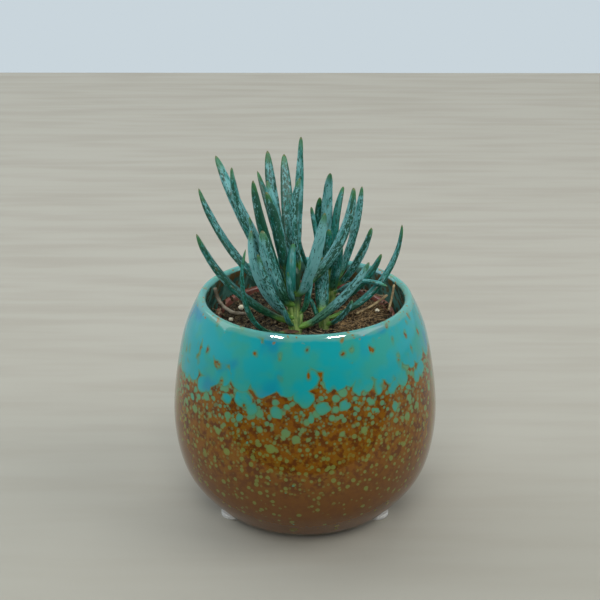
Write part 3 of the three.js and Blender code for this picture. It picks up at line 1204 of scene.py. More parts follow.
@dataclass
class SoilBed:
    """Peat filled to just under the rim, lumpy on top and covered in crumbs and fibres."""

    node: str = "soil"
    rim_node: str = "nursery_pot"
    facets: int = 150
    rings: int = 46
    clod: float = 3.2 * MM
    clod_height: float = 1.5 * MM
    grit: float = 0.9 * MM
    grit_height: float = 0.65 * MM
    crumbs: int = 620
    fibres: int = 230
    rim_crumbs: int = 110
    rim_fibres: int = 90
    seed: int = 11

    def radius(self) -> float:
        """The radius of the top of the soil."""
        return half_size(self.node).x

    def level(self) -> float:
        """The mean level of the top of the soil."""
        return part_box(self.node)[1].z - 0.4 * MM

    def bed(self) -> bpy.types.Object:
        """Fills the pot with peat and roughens the top.

        Returns:
            The bed.
        """
        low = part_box(self.node)[0]
        top, radius = self.level(), self.radius()
        foot = stations(self.node)[0][2]
        outline = [(0.0, low.z), (foot, low.z), (radius, top - 5 * MM), (radius, top - 0.6 * MM)]
        outline += [(radius * (1 - i / self.rings), top) for i in range(1, self.rings + 1)]
        bed = Bench.throw("soil_bed", outline, self.facets)
        group = bed.vertex_groups.new(name="top")
        group.add([v.index for v in bed.data.vertices if v.co.z > top - 0.1 * MM], 1.0, "ADD")
        Bench.roughen(bed, self.clod, self.clod_height, "top", 3)
        Bench.roughen(bed, self.grit, self.grit_height, "top", 3)
        Bench.smooth(bed, 180)
        return Bench.finish(bed, Slot.PEAT, [Peat().make()], self.node)

    def crumb_blanks(self, rng: np.random.Generator) -> list[bpy.types.Object]:
        """Models a few angular crumbs of unit size.

        Args:
            rng: the source of their unevenness.

        Returns:
            The blanks.
        """
        blanks = []
        for index in range(4):
            Bench.clear()
            bpy.ops.mesh.primitive_ico_sphere_add(subdivisions=2, radius=1.0)
            blank = bpy.context.object
            blank.name = f"crumb_blank_{index}"
            Bench.place(blank, Vector(), size=(1.0, 0.55 + 0.4 * rng.random(), 0.5 + 0.4 * rng.random()))
            Bench.roughen(blank, 0.7 + 0.2 * index, 0.9)
            blanks.append(blank)
        return blanks

    def scatter(self, rng: np.random.Generator, low: float, high: float) -> Matrix:
        """A random place on the soil.

        Args:
            rng: the source of chance.
            low: the smallest half size, in millimetres.
            high: the largest.

        Returns:
            The place, turn and size.
        """
        distance = (self.radius() - 1.5 * MM) * math.sqrt(rng.random())
        angle = math.tau * rng.random()
        size = (low + (high - low) * rng.random() ** 3) * MM
        level = self.level() + (0.2 + 0.5 * rng.random()) * MM
        return tumbled(polar(distance, angle, level), size, rng)

    def over_rim(self, rng: np.random.Generator) -> list[Matrix]:
        """Fibres that hang over the rim of the nursery pot, most of them at the front.

        Args:
            rng: the source of chance.

        Returns:
            Where they lie.
        """
        rim, level = half_size(self.rim_node).x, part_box(self.rim_node)[1].z
        places = []
        for _ in range(self.rim_fibres):
            angle = rng.normal(-math.pi / 2 + 0.25, 1.25)
            distance = rim + (-2.6 + 2.8 * rng.random()) * MM
            lift = (0.15 + 0.7 * rng.random()) * MM
            at = polar(distance, angle, level + lift)
            length = (2.5 + 6.0 * rng.random()) * MM
            heading = angle + math.pi / 2 + rng.normal(0, 0.45)
            roll = -math.pi / 2 + rng.normal(0, 1.0)
            places.append(Strand.lay(at, heading, rng.normal(0, 0.12), roll, length))
        return places

    def spilt(self, rng: np.random.Generator) -> list[Matrix]:
        """Crumbs spilt on the rim of the nursery pot.

        Args:
            rng: the source of chance.

        Returns:
            Where they lie.
        """
        rim, level = half_size(self.rim_node).x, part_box(self.rim_node)[1].z
        places = []
        for _ in range(self.rim_crumbs):
            angle = rng.normal(-math.pi / 2 + 0.1, 1.3)
            distance = rim - (0.6 + 2.4 * rng.random()) * MM
            size = (0.35 + 0.9 * rng.random() ** 2) * MM
            places.append(tumbled(polar(distance, angle, level + 0.35 * size), size, rng))
        return places

    def litter(self) -> bpy.types.Object:
        """Strews crumbs over the soil.

        Returns:
            The crumbs as one piece.
        """
        rng = np.random.default_rng(self.seed)
        places = [self.scatter(rng, 0.25, 1.5) for _ in range(self.crumbs)] + self.spilt(rng)
        crumbs = Bench.strew("soil_crumbs", self.crumb_blanks(rng), places)
        Bench.smooth(crumbs, 60)
        finish = Peat("peat_crumbs", (0.004, 0.003, 0.0014), (0.034, 0.024, 0.011), (0.15, 0.10, 0.046))
        return Bench.finish(crumbs, Slot.PEAT, [finish.make()])

    def build(self) -> list[bpy.types.Object]:
        """Makes the bed, its crumbs and its loose fibres.

        Returns:
            The pieces.
        """
        rng = np.random.default_rng(self.seed + 1)
        places = []
        for _ in range(self.fibres):
            length = (2.5 + 9.0 * rng.random() ** 2) * MM
            distance = (self.radius() - 0.55 * length) * math.sqrt(rng.random())
            angle, lift = math.tau * rng.random(), (0.45 + 0.5 * rng.random()) * MM
            at = polar(distance, angle, self.level() + lift)
            pitch, roll = rng.normal(0, 0.16), rng.normal(0, 0.6)
            places.append(Strand.lay(at, rng.random() * math.tau, pitch, roll, length))
        places += self.over_rim(rng)
        blanks = strand_blanks("fibre", (0.03, 0.045, 0.022, 0.06, 0.035), (15, 60, 100, 35, 140))
        fibres = Bench.strew("soil_fibres", blanks, places)
        Bench.smooth(fibres, 80)
        straw = DryFibre("peat_fibre", (0.34, 0.26, 0.150), (0.090, 0.058, 0.028))
        Bench.finish(fibres, Slot.ROOTS, [straw.make()])
        return [self.bed(), self.litter(), fibres]


@dataclass
class Strand:
    """A thin curved strand of dry root, one unit long, along Z with its middle at the origin."""

    thick: float
    bend: float
    sway: float
    steps: int = 9

    def blank(self, name: str) -> bpy.types.Object:
        """Draws the strand out of a five-sided ring and curves it.

        Args:
            name: its name.

        Returns:
            The strand.
        """
        Bench.clear()
        bpy.ops.mesh.primitive_circle_add(vertices=5, radius=self.thick / 2, fill_type="NGON")
        strand = bpy.context.object
        strand.name = name
        Bench.place(strand, Vector((0, 0, -0.5)))
        Bench.edit(strand, "FACE")
        for step in range(self.steps):
            move = {"value": (self.sway * math.sin(2.4 * step), 0, 1 / self.steps)}
            bpy.ops.mesh.extrude_region_move(TRANSFORM_OT_translate=move)
            thin = 0.93 if step < self.steps - 1 else 0.3
            bpy.ops.transform.resize(value=(thin, thin, 1))
        Bench.close(strand)
        settings = {"deform_method": "BEND", "deform_axis": "X", "angle": math.radians(self.bend)}
        return Bench.modify(strand, "SIMPLE_DEFORM", **settings)

    @staticmethod
    def lay(at: Vector, heading: float, pitch: float, roll: float, length: float) -> Matrix:
        """Where a strand lies.

        Args:
            at: its middle.
            heading: the way it points, about Z.
            pitch: how far it dips below level.
            roll: the turn of its curve about its own length; 0 curves it sideways.
            length: its length in metres.

        Returns:
            The matrix for a blank.
        """
        turn = Matrix.Rotation(heading, 4, "Z") @ Matrix.Rotation(math.pi / 2 + pitch, 4, "Y")
        turn = turn @ Matrix.Rotation(roll, 4, "Z")
        return Matrix.Translation(at) @ turn @ Matrix.Scale(length, 4)


def strand_blanks(name: str, thick: Sequence[float], bends: Sequence[float]) -> list[bpy.types.Object]:
    """Draws several strands.

    Args:
        name: the start of their names.
        thick: thickness of each as a share of its length.
        bends: how far each one curves, in degrees.

    Returns:
        The blanks.
    """
    pairs = enumerate(zip(thick, bends))
    return [Strand(t, b, 0.012 + 0.006 * i).blank(f"{name}_{i}") for i, (t, b) in pairs]


@dataclass
class RootMat:
    """The heap of dry roots between the plant and the right-hand side of the pot."""

    node: str = "root_mat"
    strands: int = 360
    reach: float = 30.5 * MM
    seed: int = 23

    def build(self) -> bpy.types.Object:
        """Heaps the strands up into the dome that the frame holds for them.

        Returns:
            The heap.
        """
        rng = np.random.default_rng(self.seed)
        centre, half = middle(self.node), half_size(self.node)
        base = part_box(self.node)[0].z
        places = []
        for _ in range(self.strands):
            share, angle = math.sqrt(rng.random()) * 0.92, math.tau * rng.random()
            height = 2 * half.z * math.sqrt(1 - share**2) * (0.35 + 0.62 * rng.random())
            at = Vector((centre.x + half.x * share * math.cos(angle), 0, base + height))
            at.y = centre.y + half.y * share * math.sin(angle)
            length = (7.0 + 11.0 * rng.random()) * MM
            heading = rng.normal(0.95, 0.6)
            pitch = rng.normal(0, 0.10)
            roll = math.pi * rng.integers(2) + rng.normal(0, 0.35)
            inside = (self.reach - length * 0.42) / math.hypot(at.x, at.y)
            if inside < 1:
                at.x, at.y = at.x * inside, at.y * inside
            places.append(Strand.lay(at, heading, pitch, roll, length))
        thick = (0.026, 0.040, 0.020, 0.034, 0.048, 0.022, 0.030)
        blanks = strand_blanks("root", thick, (30, 75, 110, 55, 20, 150, 95))
        mat = Bench.strew("root_heap", blanks, places)
        Bench.smooth(mat, 80)
        fibre = DryFibre("dry_roots", (0.255, 0.165, 0.070), (0.022, 0.013, 0.005), patch=1.2)
        return Bench.finish(mat, Slot.ROOTS, [fibre.make()], self.node)


@dataclass
class LooseThings:
    """What lies loose on the soil: a twig, two straws, grains of perlite and a dry scale."""

    grains: tuple[str, ...] = tuple(f"perlite_{i}" for i in range(1, 6))
    knots: float = 0.35 * MM

    def stick(
        self, node: str, slot: Slot, finish: DryFibre, name: str, knots: float, lift: float = 0.0
    ) -> None:
        """Rounds a stick of the frame and gives it bark.

        Args:
            node: the node it stands for.
            slot: its slot.
            finish: its finish.
            name: its name.
            knots: how uneven it is, in metres.
            lift: how far the crumbs under it raise it, in metres.
        """
        stick = Bench.of_node(node, name)
        Bench.modify(stick, "BEVEL", width=0.12 * MM, limit_method="ANGLE", angle_limit=1.0)
        Bench.soften(stick, 2)
        Bench.roughen(stick, 1.6 * MM, knots, depth=3)
        Bench.place(stick, Vector((0, 0, lift)))
        Bench.smooth(stick, 60)
        Bench.finish(stick, slot, [finish.make()], node)

    def grain(self, node: str, finish: bpy.types.Material) -> None:
        """Shapes one grain of perlite.

        Args:
            node: the node it stands for.
            finish: its material.
        """
        Bench.clear()
        bpy.ops.mesh.primitive_ico_sphere_add(subdivisions=4, radius=1.0)
        grain = bpy.context.object
        grain.name = f"{node}_grain"
        Bench.place(grain, middle(node), size=tuple(half_size(node) * 0.96))
        Bench.roughen(grain, 0.7 * MM, 0.45 * MM, depth=3)
        Bench.smooth(grain, 70)
        Bench.finish(grain, Slot.PERLITE, [finish], node)

    def build(self) -> None:
        """Makes every loose thing."""
        bark = DryFibre("twig_bark", (0.235, 0.205, 0.150), (0.085, 0.065, 0.040), 0.4)
        straw = DryFibre("dry_straw", (0.330, 0.255, 0.130), (0.150, 0.100, 0.045), 0.5, 0.6)
        husk = DryFibre("dry_husk", (0.115, 0.060, 0.028), (0.045, 0.022, 0.010), 0.5)
        self.stick("dry_twig", Slot.TWIG, bark, "twig", self.knots)
        self.stick("dry_straw_short", Slot.STRAW, straw, "straw_short", self.knots * 0.4)
        self.stick("dry_straw_long", Slot.STRAW, straw, "straw_long", self.knots * 0.4)
        self.stick("dry_scale", Slot.SCALE, husk, "husk", self.knots * 1.2, 1.8 * MM)
        perlite = PerliteFoam().make()
        for node in self.grains:
            self.grain(node, perlite)


# ---- plant ---------------------------------------------------------------------------------------


@dataclass(frozen=True)
class LeafTraits:
    """How one leaf's skin differs from the next.

    Each runs from 0 to 1: waxy is how much blue-lilac bloom it keeps, rubbed how much dark green
    shows through in streaks, and rooted how far the green of the foot climbs.
    """

    waxy: float
    rubbed: float
    rooted: float


LEAF_TRAITS: dict[str, LeafTraits] = {
    "front_leaf_01": LeafTraits(0.30, 0.60, 0.60),
    "front_leaf_02": LeafTraits(0.95, 0.35, 0.70),
    "front_leaf_03": LeafTraits(0.55, 0.20, 0.70),
    "front_leaf_04": LeafTraits(0.50, 0.60, 0.55),
    "front_leaf_05": LeafTraits(0.65, 0.40, 0.30),
    "front_leaf_06": LeafTraits(0.55, 0.35, 0.70),
    "front_leaf_07": LeafTraits(0.95, 0.20, 0.25),
    "front_leaf_08": LeafTraits(0.65, 0.55, 0.50),
    "front_leaf_09": LeafTraits(0.80, 0.45, 0.60),
    "front_leaf_10": LeafTraits(0.95, 0.30, 0.30),
    "front_leaf_11": LeafTraits(0.50, 0.10, 0.20),
    "front_leaf_12": LeafTraits(0.80, 0.40, 0.15),
    "front_leaf_13": LeafTraits(0.85, 0.12, 0.15),
    "front_leaf_14": LeafTraits(0.35, 0.00, 0.10),
    "front_leaf_15": LeafTraits(0.50, 0.85, 0.20),
    "front_leaf_16": LeafTraits(0.85, 0.55, 0.45),
    "front_leaf_17": LeafTraits(0.55, 0.55, 0.20),
    "front_leaf_18": LeafTraits(0.70, 0.55, 0.20),
    "front_leaf_19": LeafTraits(0.50, 0.70, 0.20),
    "front_leaf_20": LeafTraits(0.60, 0.75, 0.20),
    "front_leaf_21": LeafTraits(0.60, 0.35, 0.10),
    "front_leaf_22": LeafTraits(0.60, 0.80, 0.20),
    "front_leaf_23": LeafTraits(0.78, 0.60, 0.20),
    "front_leaf_24": LeafTraits(0.80, 0.25, 0.10),
    "rear_leaf_01": LeafTraits(0.25, 0.55, 0.50),
    "rear_leaf_02": LeafTraits(0.60, 0.10, 0.10),
    "rear_leaf_03": LeafTraits(0.20, 0.60, 0.40),
    "rear_leaf_04": LeafTraits(0.50, 0.50, 0.60),
    "rear_leaf_05": LeafTraits(0.75, 0.55, 0.30),
    "rear_leaf_06": LeafTraits(0.65, 0.45, 0.30),
    "rear_leaf_07": LeafTraits(0.50, 0.30, 0.10),
    "rear_leaf_08": LeafTraits(0.45, 0.85, 0.10),
    "rear_leaf_09": LeafTraits(0.30, 0.60, 0.30),
    "rear_leaf_10": LeafTraits(0.25, 0.45, 0.20),
    "rear_leaf_11": LeafTraits(0.80, 0.25, 0.10),
    "side_leaf_01": LeafTraits(0.75, 0.60, 0.30),
    "side_leaf_02": LeafTraits(0.20, 0.60, 0.60),
    "side_leaf_03": LeafTraits(0.55, 0.50, 0.45),
    "side_leaf_04": LeafTraits(0.65, 0.60, 0.40),
}


@dataclass
class LeafArc:
    """Where a leaf of the frame runs: an arc in an upright plane.

    foot is where it starts, outward the level direction that the plane opens to, lean the angle from
    upright at the foot and at the tip, length along the arc and width across it.
    """

    foot: Vector
    outward: Vector
    lean: tuple[float, float]
    length: float
    width: float
    thickness: float

    @staticmethod
    def measure(node: str, axis: Callable[[float], Vector]) -> "LeafArc":
        """Reads the arc off a leaf node.

        Args:
            node: the leaf's node.
            axis: gives the middle of the leaf's stem at a level.

        Returns:
            The arc.
        """
        copy = Bench.of_node(node, "measured_leaf")
        rings = LeafArc._rings(copy.data)
        spine = np.array([ring.mean(0) for ring in rings])
        level = spine[:, :2] - spine[:, :2].mean(0)
        outward = np.append(np.linalg.svd(level)[2][0], 0.0)
        foot = Vector(spine[0])
        if Vector(outward).dot(foot - axis(foot.z)) < 0:
            outward = -outward
        across = np.array([-outward[1], outward[0], 0.0])
        steps = np.diff(spine, axis=0)
        lengths = np.linalg.norm(steps, axis=1)
        leans = np.arctan2(steps @ outward, steps[:, 2])
        middles = (np.cumsum(lengths) - lengths / 2) / lengths.sum()
        good = lengths > 0.04 * lengths.sum()
        slope, start = np.polyfit(middles[good], leans[good], 1)
        turned = slope * lengths[good] / lengths.sum() / 2
        length = float((lengths[good] * turned / np.sin(turned)).sum() + lengths[~good].sum())
        widest = max(rings, key=lambda ring: np.ptp(ring @ across))
        index = [ring is widest for ring in rings].index(True)
        lean = start + slope * middles[min(index, len(middles) - 1)]
        normal = outward * math.cos(lean) - np.array([0, 0, math.sin(lean)])
        width, thickness = float(np.ptp(widest @ across)), float(np.ptp(widest @ normal))
        Bench.drop(copy)
        lean_pair = (float(start), float(start + slope))
        return LeafArc(foot, Vector(outward), lean_pair, length, width, thickness)

    @staticmethod
    def _rings(mesh: bpy.types.Mesh) -> list[np.ndarray]:
        """The rings of vertices of a leaf, from its foot point to its tip point.

        Args:
            mesh: a leaf whose doubled vertices are merged.

        Returns:
            The places of each ring's vertices.
        """
        near: dict[int, set[int]] = {v.index: set() for v in mesh.vertices}
        for edge in mesh.edges:
            a, b = edge.vertices
            near[a].add(b)
            near[b].add(a)
        places = np.array([v.co for v in mesh.vertices])
        best: list[list[int]] = []
        for pole in near:
            walk, seen = [[pole]], {pole}
            while walk[-1]:
                following = sorted({n for v in walk[-1] for n in near[v]} - seen)
                seen.update(following)
                walk.append(following)
            walk.pop()
            even = len(walk) > 2 and len(walk[-1]) == 1 and len({len(r) for r in walk[1:-1]}) == 1
            if even and len(walk) > len(best):
                best = walk
        rings = [places[ring] for ring in best]
        first = np.linalg.norm(rings[1].mean(0) - rings[0].mean(0))
        last = np.linalg.norm(rings[-1].mean(0) - rings[-2].mean(0))
        return rings if first < last else list(reversed(rings))


@dataclass
class LeafBlank:
    """A straight leaf, one unit long and one wide: fleshy, flatter on the side that faces the stem."""

    sides: int = 14
    foot_width: float = 0.60
    fullest: float = 0.40
    channel: float = 0.10
    flat: float = 0.72
    tail: float = 0.035

    def half_width(self, share: float) -> float:
        """Half the width at a share of the length."""
        if share < self.fullest:
            swell = math.sin(share / self.fullest * math.pi / 2)
            return (self.foot_width + (1 - self.foot_width) * swell) / 2
        full = max(0.0, 1 - ((share - self.fullest) / (1 - self.fullest)) ** 2.5)
        return (math.sqrt(full) * (1 - self.tail) + self.tail * (share < 0.99)) / 2

    def build(self, name: str) -> bpy.types.Object:
        """Draws the leaf up out of a ring, station by station, to a small hard point.

        Args:
            name: the blank's name.

        Returns:
            The blank, its foot at the origin and its tip at Z = 1.
        """
        shares = [0.0, 0.04, 0.09, 0.16, 0.24, 0.33, 0.42, 0.51, 0.60, 0.69, 0.77, 0.84, 0.895]
        shares += [0.935, 0.962, 0.980, 0.990, 0.996, 1.0]
        Bench.clear()
        start = self.half_width(0.0)
        bpy.ops.mesh.primitive_circle_add(vertices=self.sides, radius=start, fill_type="NGON")
        leaf = bpy.context.object
        leaf.name = name
        Bench.edit(leaf, "FACE")
        width = start
        for low, high in zip(shares, shares[1:]):
            bpy.ops.mesh.extrude_region_move(TRANSFORM_OT_translate={"value": (0, 0, high - low)})
            wanted = max(self.half_width(high), 0.02) if high < 0.999 else 0.008
            ratio = wanted / width
            bpy.ops.transform.resize(value=(ratio, ratio, 1))
            width = wanted
        Bench.close(leaf)
        self._flatten(leaf)
        return leaf

    def _flatten(self, leaf: bpy.types.Object) -> None:
        """Flattens the inner side and sinks a shallow channel along it.

        Args:
            leaf: the round blank.
        """
        for vertex in leaf.data.vertices:
            x, y, z = vertex.co
            width = self.half_width(min(max(z, 0.0), 0.985))
            inner = max(0.0, -y / max(width, 1e-6))
            groove = self.channel * math.exp(-((x / max(0.4 * width, 1e-6)) ** 2))
            vertex.co.y = y * (1 - (1 - self.flat) * inner) + groove * width * inner


@dataclass
class Plant:
    """The plant: three stems and the leaves on them."""

    stems: tuple[str, ...] = ("front", "rear", "side")
    wander: float = 0.35 * MM
    # per stem, how high in millimetres over the soil it stays pale before painted shade darkens it
    pale_rise: dict[str, float] = field(default_factory=lambda: {"front": 13, "rear": 22, "side": 10})
    rib_length: float = 8.5 * MM
    rib_width: float = 2.0 * MM
    widen: float = 1.08
    thicken: float = 1.04

    def stem_axis(self, stem: str) -> Callable[[float], Vector]:
        """The middle line of a stem.

        Args:
            stem: the stem's name.

        Returns:
            A function from a level to the middle of the stem there.
        """
        vertices = [v.co for v in FRAME_NODES[f"{stem}_stem"].data.vertices]
        levels = sorted({round(co.z, 5) for co in vertices})
        rings = [np.mean([co for co in vertices if round(co.z, 5) == z], 0) for z in levels]
        xs, ys = [ring[0] for ring in rings], [ring[1] for ring in rings]
        return lambda z: Vector((np.interp(z, levels, xs), np.interp(z, levels, ys), z))

    def stem(self, name: str, finish: bpy.types.Material) -> bpy.types.Object:
        """Rounds a stem of the frame and makes it knobbly.

        Args:
            name: the stem's name.
            finish: its material.

        Returns:
            The stem.
        """
        stem = Bench.of_node(f"{name}_stem", f"{name}_stalk")
        Bench.edit(stem)
        bpy.ops.mesh.subdivide(number_cuts=2)
        bpy.ops.object.mode_set(mode="OBJECT")
        Bench.soften(stem, 1)
        Bench.roughen(stem, 1.8 * MM, 0.5 * MM)
        ribs = self.ribs(name)
        Bench.take(stem, ribs)
        bpy.ops.object.join()
        Bench.smooth(stem, 75)
        return Bench.finish(stem, Slot.STEM, [finish], f"{name}_stem")

    def ribs(self, name: str) -> bpy.types.Object:
        """Models the foot of each leaf that runs on down the stem as a rib.

        Args:
            name: the stem's name.

        Returns:
            The ribs as one piece.
        """
        Bench.clear()
        bpy.ops.mesh.primitive_uv_sphere_add(segments=10, ring_count=9, radius=1.0)
        blank = bpy.context.object
        blank.name = "rib_blank"
        Bench.pick(blank, "VERT", lambda vertex: vertex.co.z > 0.2)
        bpy.ops.transform.resize(value=(1.25, 1.1, 1.0))
        bpy.ops.object.mode_set(mode="OBJECT")
        axis, places = self.stem_axis(name), []
        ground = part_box("soil")[1].z
        for node in self.leaves_of(name):
            foot = LeafArc.measure(node, axis).foot
            away = foot - axis(foot.z)
            turn = math.atan2(away.y, away.x)
            depth = min(self.rib_length, foot.z - ground + 1.5 * MM)
            centre = axis(foot.z - depth * 0.38) + away * 0.60
            tilt = Matrix.Rotation(turn, 4, "Z") @ Matrix.Rotation(0.10, 4, "Y")
            half = Vector((self.rib_width * 0.42, self.rib_width * 0.5, depth * 0.62))
            places.append(Matrix.Translation(centre) @ tilt @ Matrix.Diagonal((*half, 1)))
        return Bench.strew(f"{name}_ribs", [blank], places)

    @staticmethod
    def leaves_of(name: str) -> list[str]:
        """The leaf nodes of a stem."""
        return sorted(node for node in FRAME_NODES if node.startswith(f"{name}_leaf_"))

    def leaf(self, node: str, blank: bpy.types.Object, axis: Callable[[float], Vector]) -> bpy.types.Object:
        """Bends a copy of the blank along one leaf of the frame.

        Args:
            node: the leaf's node.
            blank: the straight leaf.
            axis: the middle line of its stem.

        Returns:
            The leaf.
        """
        arc = LeafArc.measure(node, axis)
        rng = np.random.default_rng(sum(ord(c) * (i + 3) for i, c in enumerate(node)))
        leaf = Bench.copy(blank, node.replace("leaf", "blade"))
        Bench.place(leaf, Vector(), size=(arc.width * self.widen, arc.thickness * self.thicken, arc.length))
        Bench.soften(leaf, 1)
        self._tuck(leaf, arc, axis)
        self._mark(leaf, arc, node, rng)
        Bench.roughen(leaf, 5.0 * MM + 3.0 * MM * rng.random(), self.wander, depth=1)
        heights = [v.co.z for v in leaf.data.vertices]
        bend = (arc.lean[1] - arc.lean[0]) * (max(heights) - min(heights)) / arc.length
        if abs(bend) > 0.002:
            settings = {"deform_method": "BEND", "deform_axis": "X", "angle": bend}
            Bench.modify(leaf, "SIMPLE_DEFORM", **settings)
        heading = math.atan2(arc.outward.y, arc.outward.x) - math.pi / 2
        Bench.place(leaf, arc.foot, turn=(-arc.lean[0], 0.0, heading))
        Bench.smooth(leaf, 75)
        return leaf

    @staticmethod
    def _tuck(leaf: bpy.types.Object, arc: LeafArc, axis: Callable[[float], Vector]) -> None:
        """Runs the foot of a straight leaf into its stem, however far off it starts.

        Args:
            leaf: the leaf, its foot at Z = 0.
            arc: the leaf's arc.
            axis: the middle line of its stem.
        """
        away = arc.foot - axis(arc.foot.z)
        pull = max(1.1 * MM, math.hypot(away.x, away.y) - 0.6 * MM)
        zone = max(0.05 * arc.length, 1.8 * pull)
        for vertex in leaf.data.vertices:
            share = vertex.co.z / zone
            if share < 1:
                inwards = (1 - share) ** 2 * pull
                vertex.co.y -= inwards * math.cos(arc.lean[0])
                vertex.co.z -= inwards * math.sin(abs(arc.lean[0])) + (1 - share) ** 2 * 0.5 * MM

    @staticmethod
    def _mark(leaf: bpy.types.Object, arc: LeafArc, node: str, rng: np.random.Generator) -> None:
        """Writes on the mesh what the skin reads: place along and round the leaf, and its traits.

        Args:
            leaf: the straight leaf.
            arc: the leaf's arc.
            node: the leaf's node.
            rng: the source of its own variation.
        """
        mesh = leaf.data
        places = np.array([v.co for v in mesh.vertices], dtype=np.float64)
        share = np.clip(places[:, 2] / arc.length, 0, 1)
        offset = rng.random(3) * 400
        chosen = LEAF_TRAITS[node]
        values = np.tile((chosen.waxy, chosen.rubbed, chosen.rooted), (len(places), 1))
        halves = np.array([LeafBlank().half_width(min(s, 0.97)) for s in share]) * arc.width
        edge = np.clip(np.abs(places[:, 0]) / halves, 0, 1) ** 3
        for name, kind, data in (
            ("leaf_place", "FLOAT_VECTOR", places / MM + offset),
            ("leaf_traits", "FLOAT_VECTOR", values),
            ("leaf_share", "FLOAT", share),
            ("leaf_edge", "FLOAT", edge),
        ):
            layer = mesh.attributes.new(name, kind, "POINT")
            key = "value" if kind == "FLOAT" else "vector"
            layer.data.foreach_set(key, np.asarray(data, dtype=np.float32).ravel())

    def build(self) -> None:
        """Grows the stems and all of their leaves."""
        leaf_skin = LeafSkin().make()
        blank = LeafBlank().build("leaf_blank")
        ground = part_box("soil")[1].z / MM
        for name in self.stems:
            self.stem(name, StemSkin(ground, self.pale_rise[name]).make())
            axis = self.stem_axis(name)
            for node in self.leaves_of(name):
                leaf = self.leaf(node, blank, axis)
                Bench.finish(leaf, Slot.LEAF, [leaf_skin], node)
        Bench.drop(blank)


# ---- studio --------------------------------------------------------------------------------------


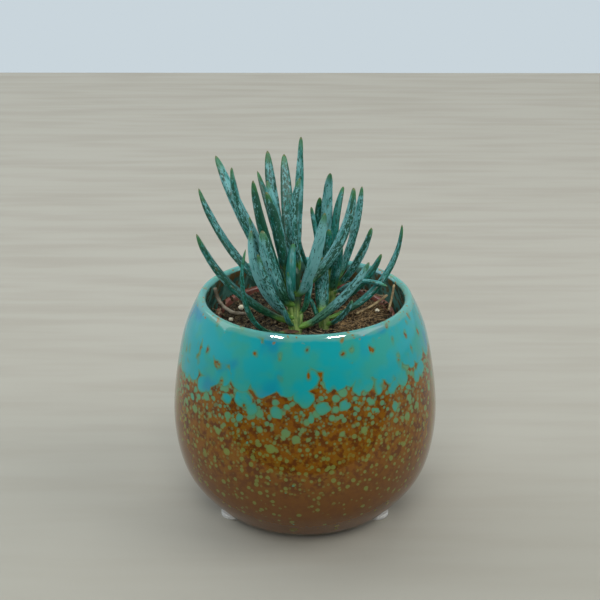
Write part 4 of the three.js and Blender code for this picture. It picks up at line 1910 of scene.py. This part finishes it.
@dataclass
class Studio:
    """Plain pale floor, soft lights and the camera."""

    camera_at: tuple[float, float, float] = (0.0, -0.4636, 0.2726)
    aim_at: tuple[float, float, float] = (-0.0019, -0.00094, 0.0830)
    lens: float = 81.15
    far_edge: float = 0.741
    card_near: float = 0.105
    floor_side: float = 6.0
    card_size: tuple[float, float] = (0.75, 1.2)
    wall: Colour = (0.585, 0.665, 0.715)
    dusk: Colour = (0.10, 0.10, 0.10)

    def floor(self) -> None:
        """Lays the floor."""
        Bench.clear()
        middle_y = self.far_edge - self.floor_side / 2
        bpy.ops.mesh.primitive_plane_add(size=self.floor_side, location=(0, middle_y, 0))
        floor = bpy.context.object
        floor.name = "floor"
        bpy.ops.object.transform_apply(location=True)
        floor.data.materials.append(FloorPaint().make())

    def dark_card(self) -> None:
        """Lays a black card in front of the pot, which only its glaze reflects."""
        Bench.clear()
        middle_y = -self.card_near - self.card_size[1] / 2
        bpy.ops.mesh.primitive_plane_add(size=1.0, location=(0.02, middle_y, 0.4 * MM))
        card = bpy.context.object
        card.name = "dark_card"
        card.scale = (*self.card_size, 1)
        bpy.ops.object.transform_apply(location=True, scale=True)
        g = Graph("black_card")
        grain = g.noise(g.place(), 3.0)
        black = g.surface(Base_Color=g.mix(grain, (0.01,) * 3, (0.02,) * 3), Roughness=0.9)
        card.data.materials.append(black)
        card.visible_camera = False
        card.visible_diffuse = False
        card.visible_shadow = False
        card.visible_transmission = False

    def surroundings(self) -> None:
        """Lights the room around the floor, paler above and darker behind the camera."""
        g = Graph("studio", world=True)
        away = g.node("ShaderNodeTexCoord", {}, {}, "Generated").part("Y")
        share = g.node("ShaderNodeMapRange", {}, {"Value": away, "From Min": -0.9, "From Max": 0.1})
        glow = g.ramp(share, [(0.0, self.dusk), (1.0, self.wall)])
        back = g.node("ShaderNodeBackground", {}, {0: glow})
        bpy.context.scene.world = g.close("ShaderNodeOutputWorld", back)

    def lamp(
        self,
        name: str,
        at: tuple[float, float, float],
        size: tuple[float, float],
        power: float,
        colour: Colour = (1, 1, 1),
        shows: tuple[bool, bool] = (True, True),
    ) -> None:
        """Hangs a rectangular soft light that points at the pot.

        Args:
            name: its name.
            at: where it hangs.
            size: its width and height, in metres.
            power: its power in watts.
            colour: its colour.
            shows: whether matt surfaces and gloss see it.
        """
        data = bpy.data.lights.new(name, "AREA")
        data.shape = "RECTANGLE"
        data.size, data.size_y = size
        data.energy = power
        data.color = colour
        lamp = bpy.data.objects.new(name, data)
        bpy.context.scene.collection.objects.link(lamp)
        lamp.location = at
        lamp.visible_diffuse, lamp.visible_glossy = shows
        lamp.rotation_mode = "QUATERNION"
        lamp.rotation_quaternion = (Vector(self.aim_at) - Vector(at)).to_track_quat("-Z", "Y")

    def camera(self) -> None:
        """Sets up the camera."""
        data = bpy.data.cameras.new("camera")
        data.lens = self.lens
        data.sensor_width = 36.0
        data.clip_start, data.clip_end = 0.01, 20.0
        camera = bpy.data.objects.new("camera", data)
        bpy.context.scene.collection.objects.link(camera)
        camera.location = self.camera_at
        camera.rotation_mode = "QUATERNION"
        towards = Vector(self.aim_at) - Vector(self.camera_at)
        camera.rotation_quaternion = towards.to_track_quat("-Z", "Y")
        bpy.context.scene.camera = camera

    def build(self) -> None:
        """Sets up the whole studio."""
        self.camera()
        self.floor()
        self.dark_card()
        self.surroundings()
        matt, gloss = (True, False), (False, True)
        self.lamp("window", (-1.5, 0.5, 1.1), (1.4, 1.2), 14.0, (0.86, 0.93, 1.0))
        self.lamp("fill", (1.3, -0.3, 1.2), (1.0, 1.0), 11.0, (1.0, 0.97, 0.93))
        self.lamp("top", (0.0, 0.9, 1.7), (1.8, 1.2), 13.0, (1.0, 1.0, 0.98), matt)
        self.lamp("front", (-0.1, -1.3, 1.2), (1.2, 1.0), 17.0, (1.0, 0.99, 0.96), matt)
        self.lamp("spark_left", (-0.374, -0.597, 0.684), (0.18, 0.14), 16.0, shows=gloss)
        self.lamp("spark_right", (0.410, -0.571, 0.684), (0.25, 0.12), 16.0, shows=gloss)
        bpy.context.scene.view_settings.view_transform = "Standard"


# ---- assembly ------------------------------------------------------------------------------------


def main() -> None:
    """Builds every piece around the frame, in order."""
    logging.basicConfig(level=logging.INFO, format="%(message)s")
    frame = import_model()
    FRAME_NODES.update(frame["nodes"])
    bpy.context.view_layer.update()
    Studio().build()
    CoverPot().build()
    BasePads().build()
    NurseryPot().build()
    SoilBed().build()
    RootMat().build()
    LooseThings().build()
    Plant().build()
    Bench.clear()


if __name__ == "__main__":
    main()
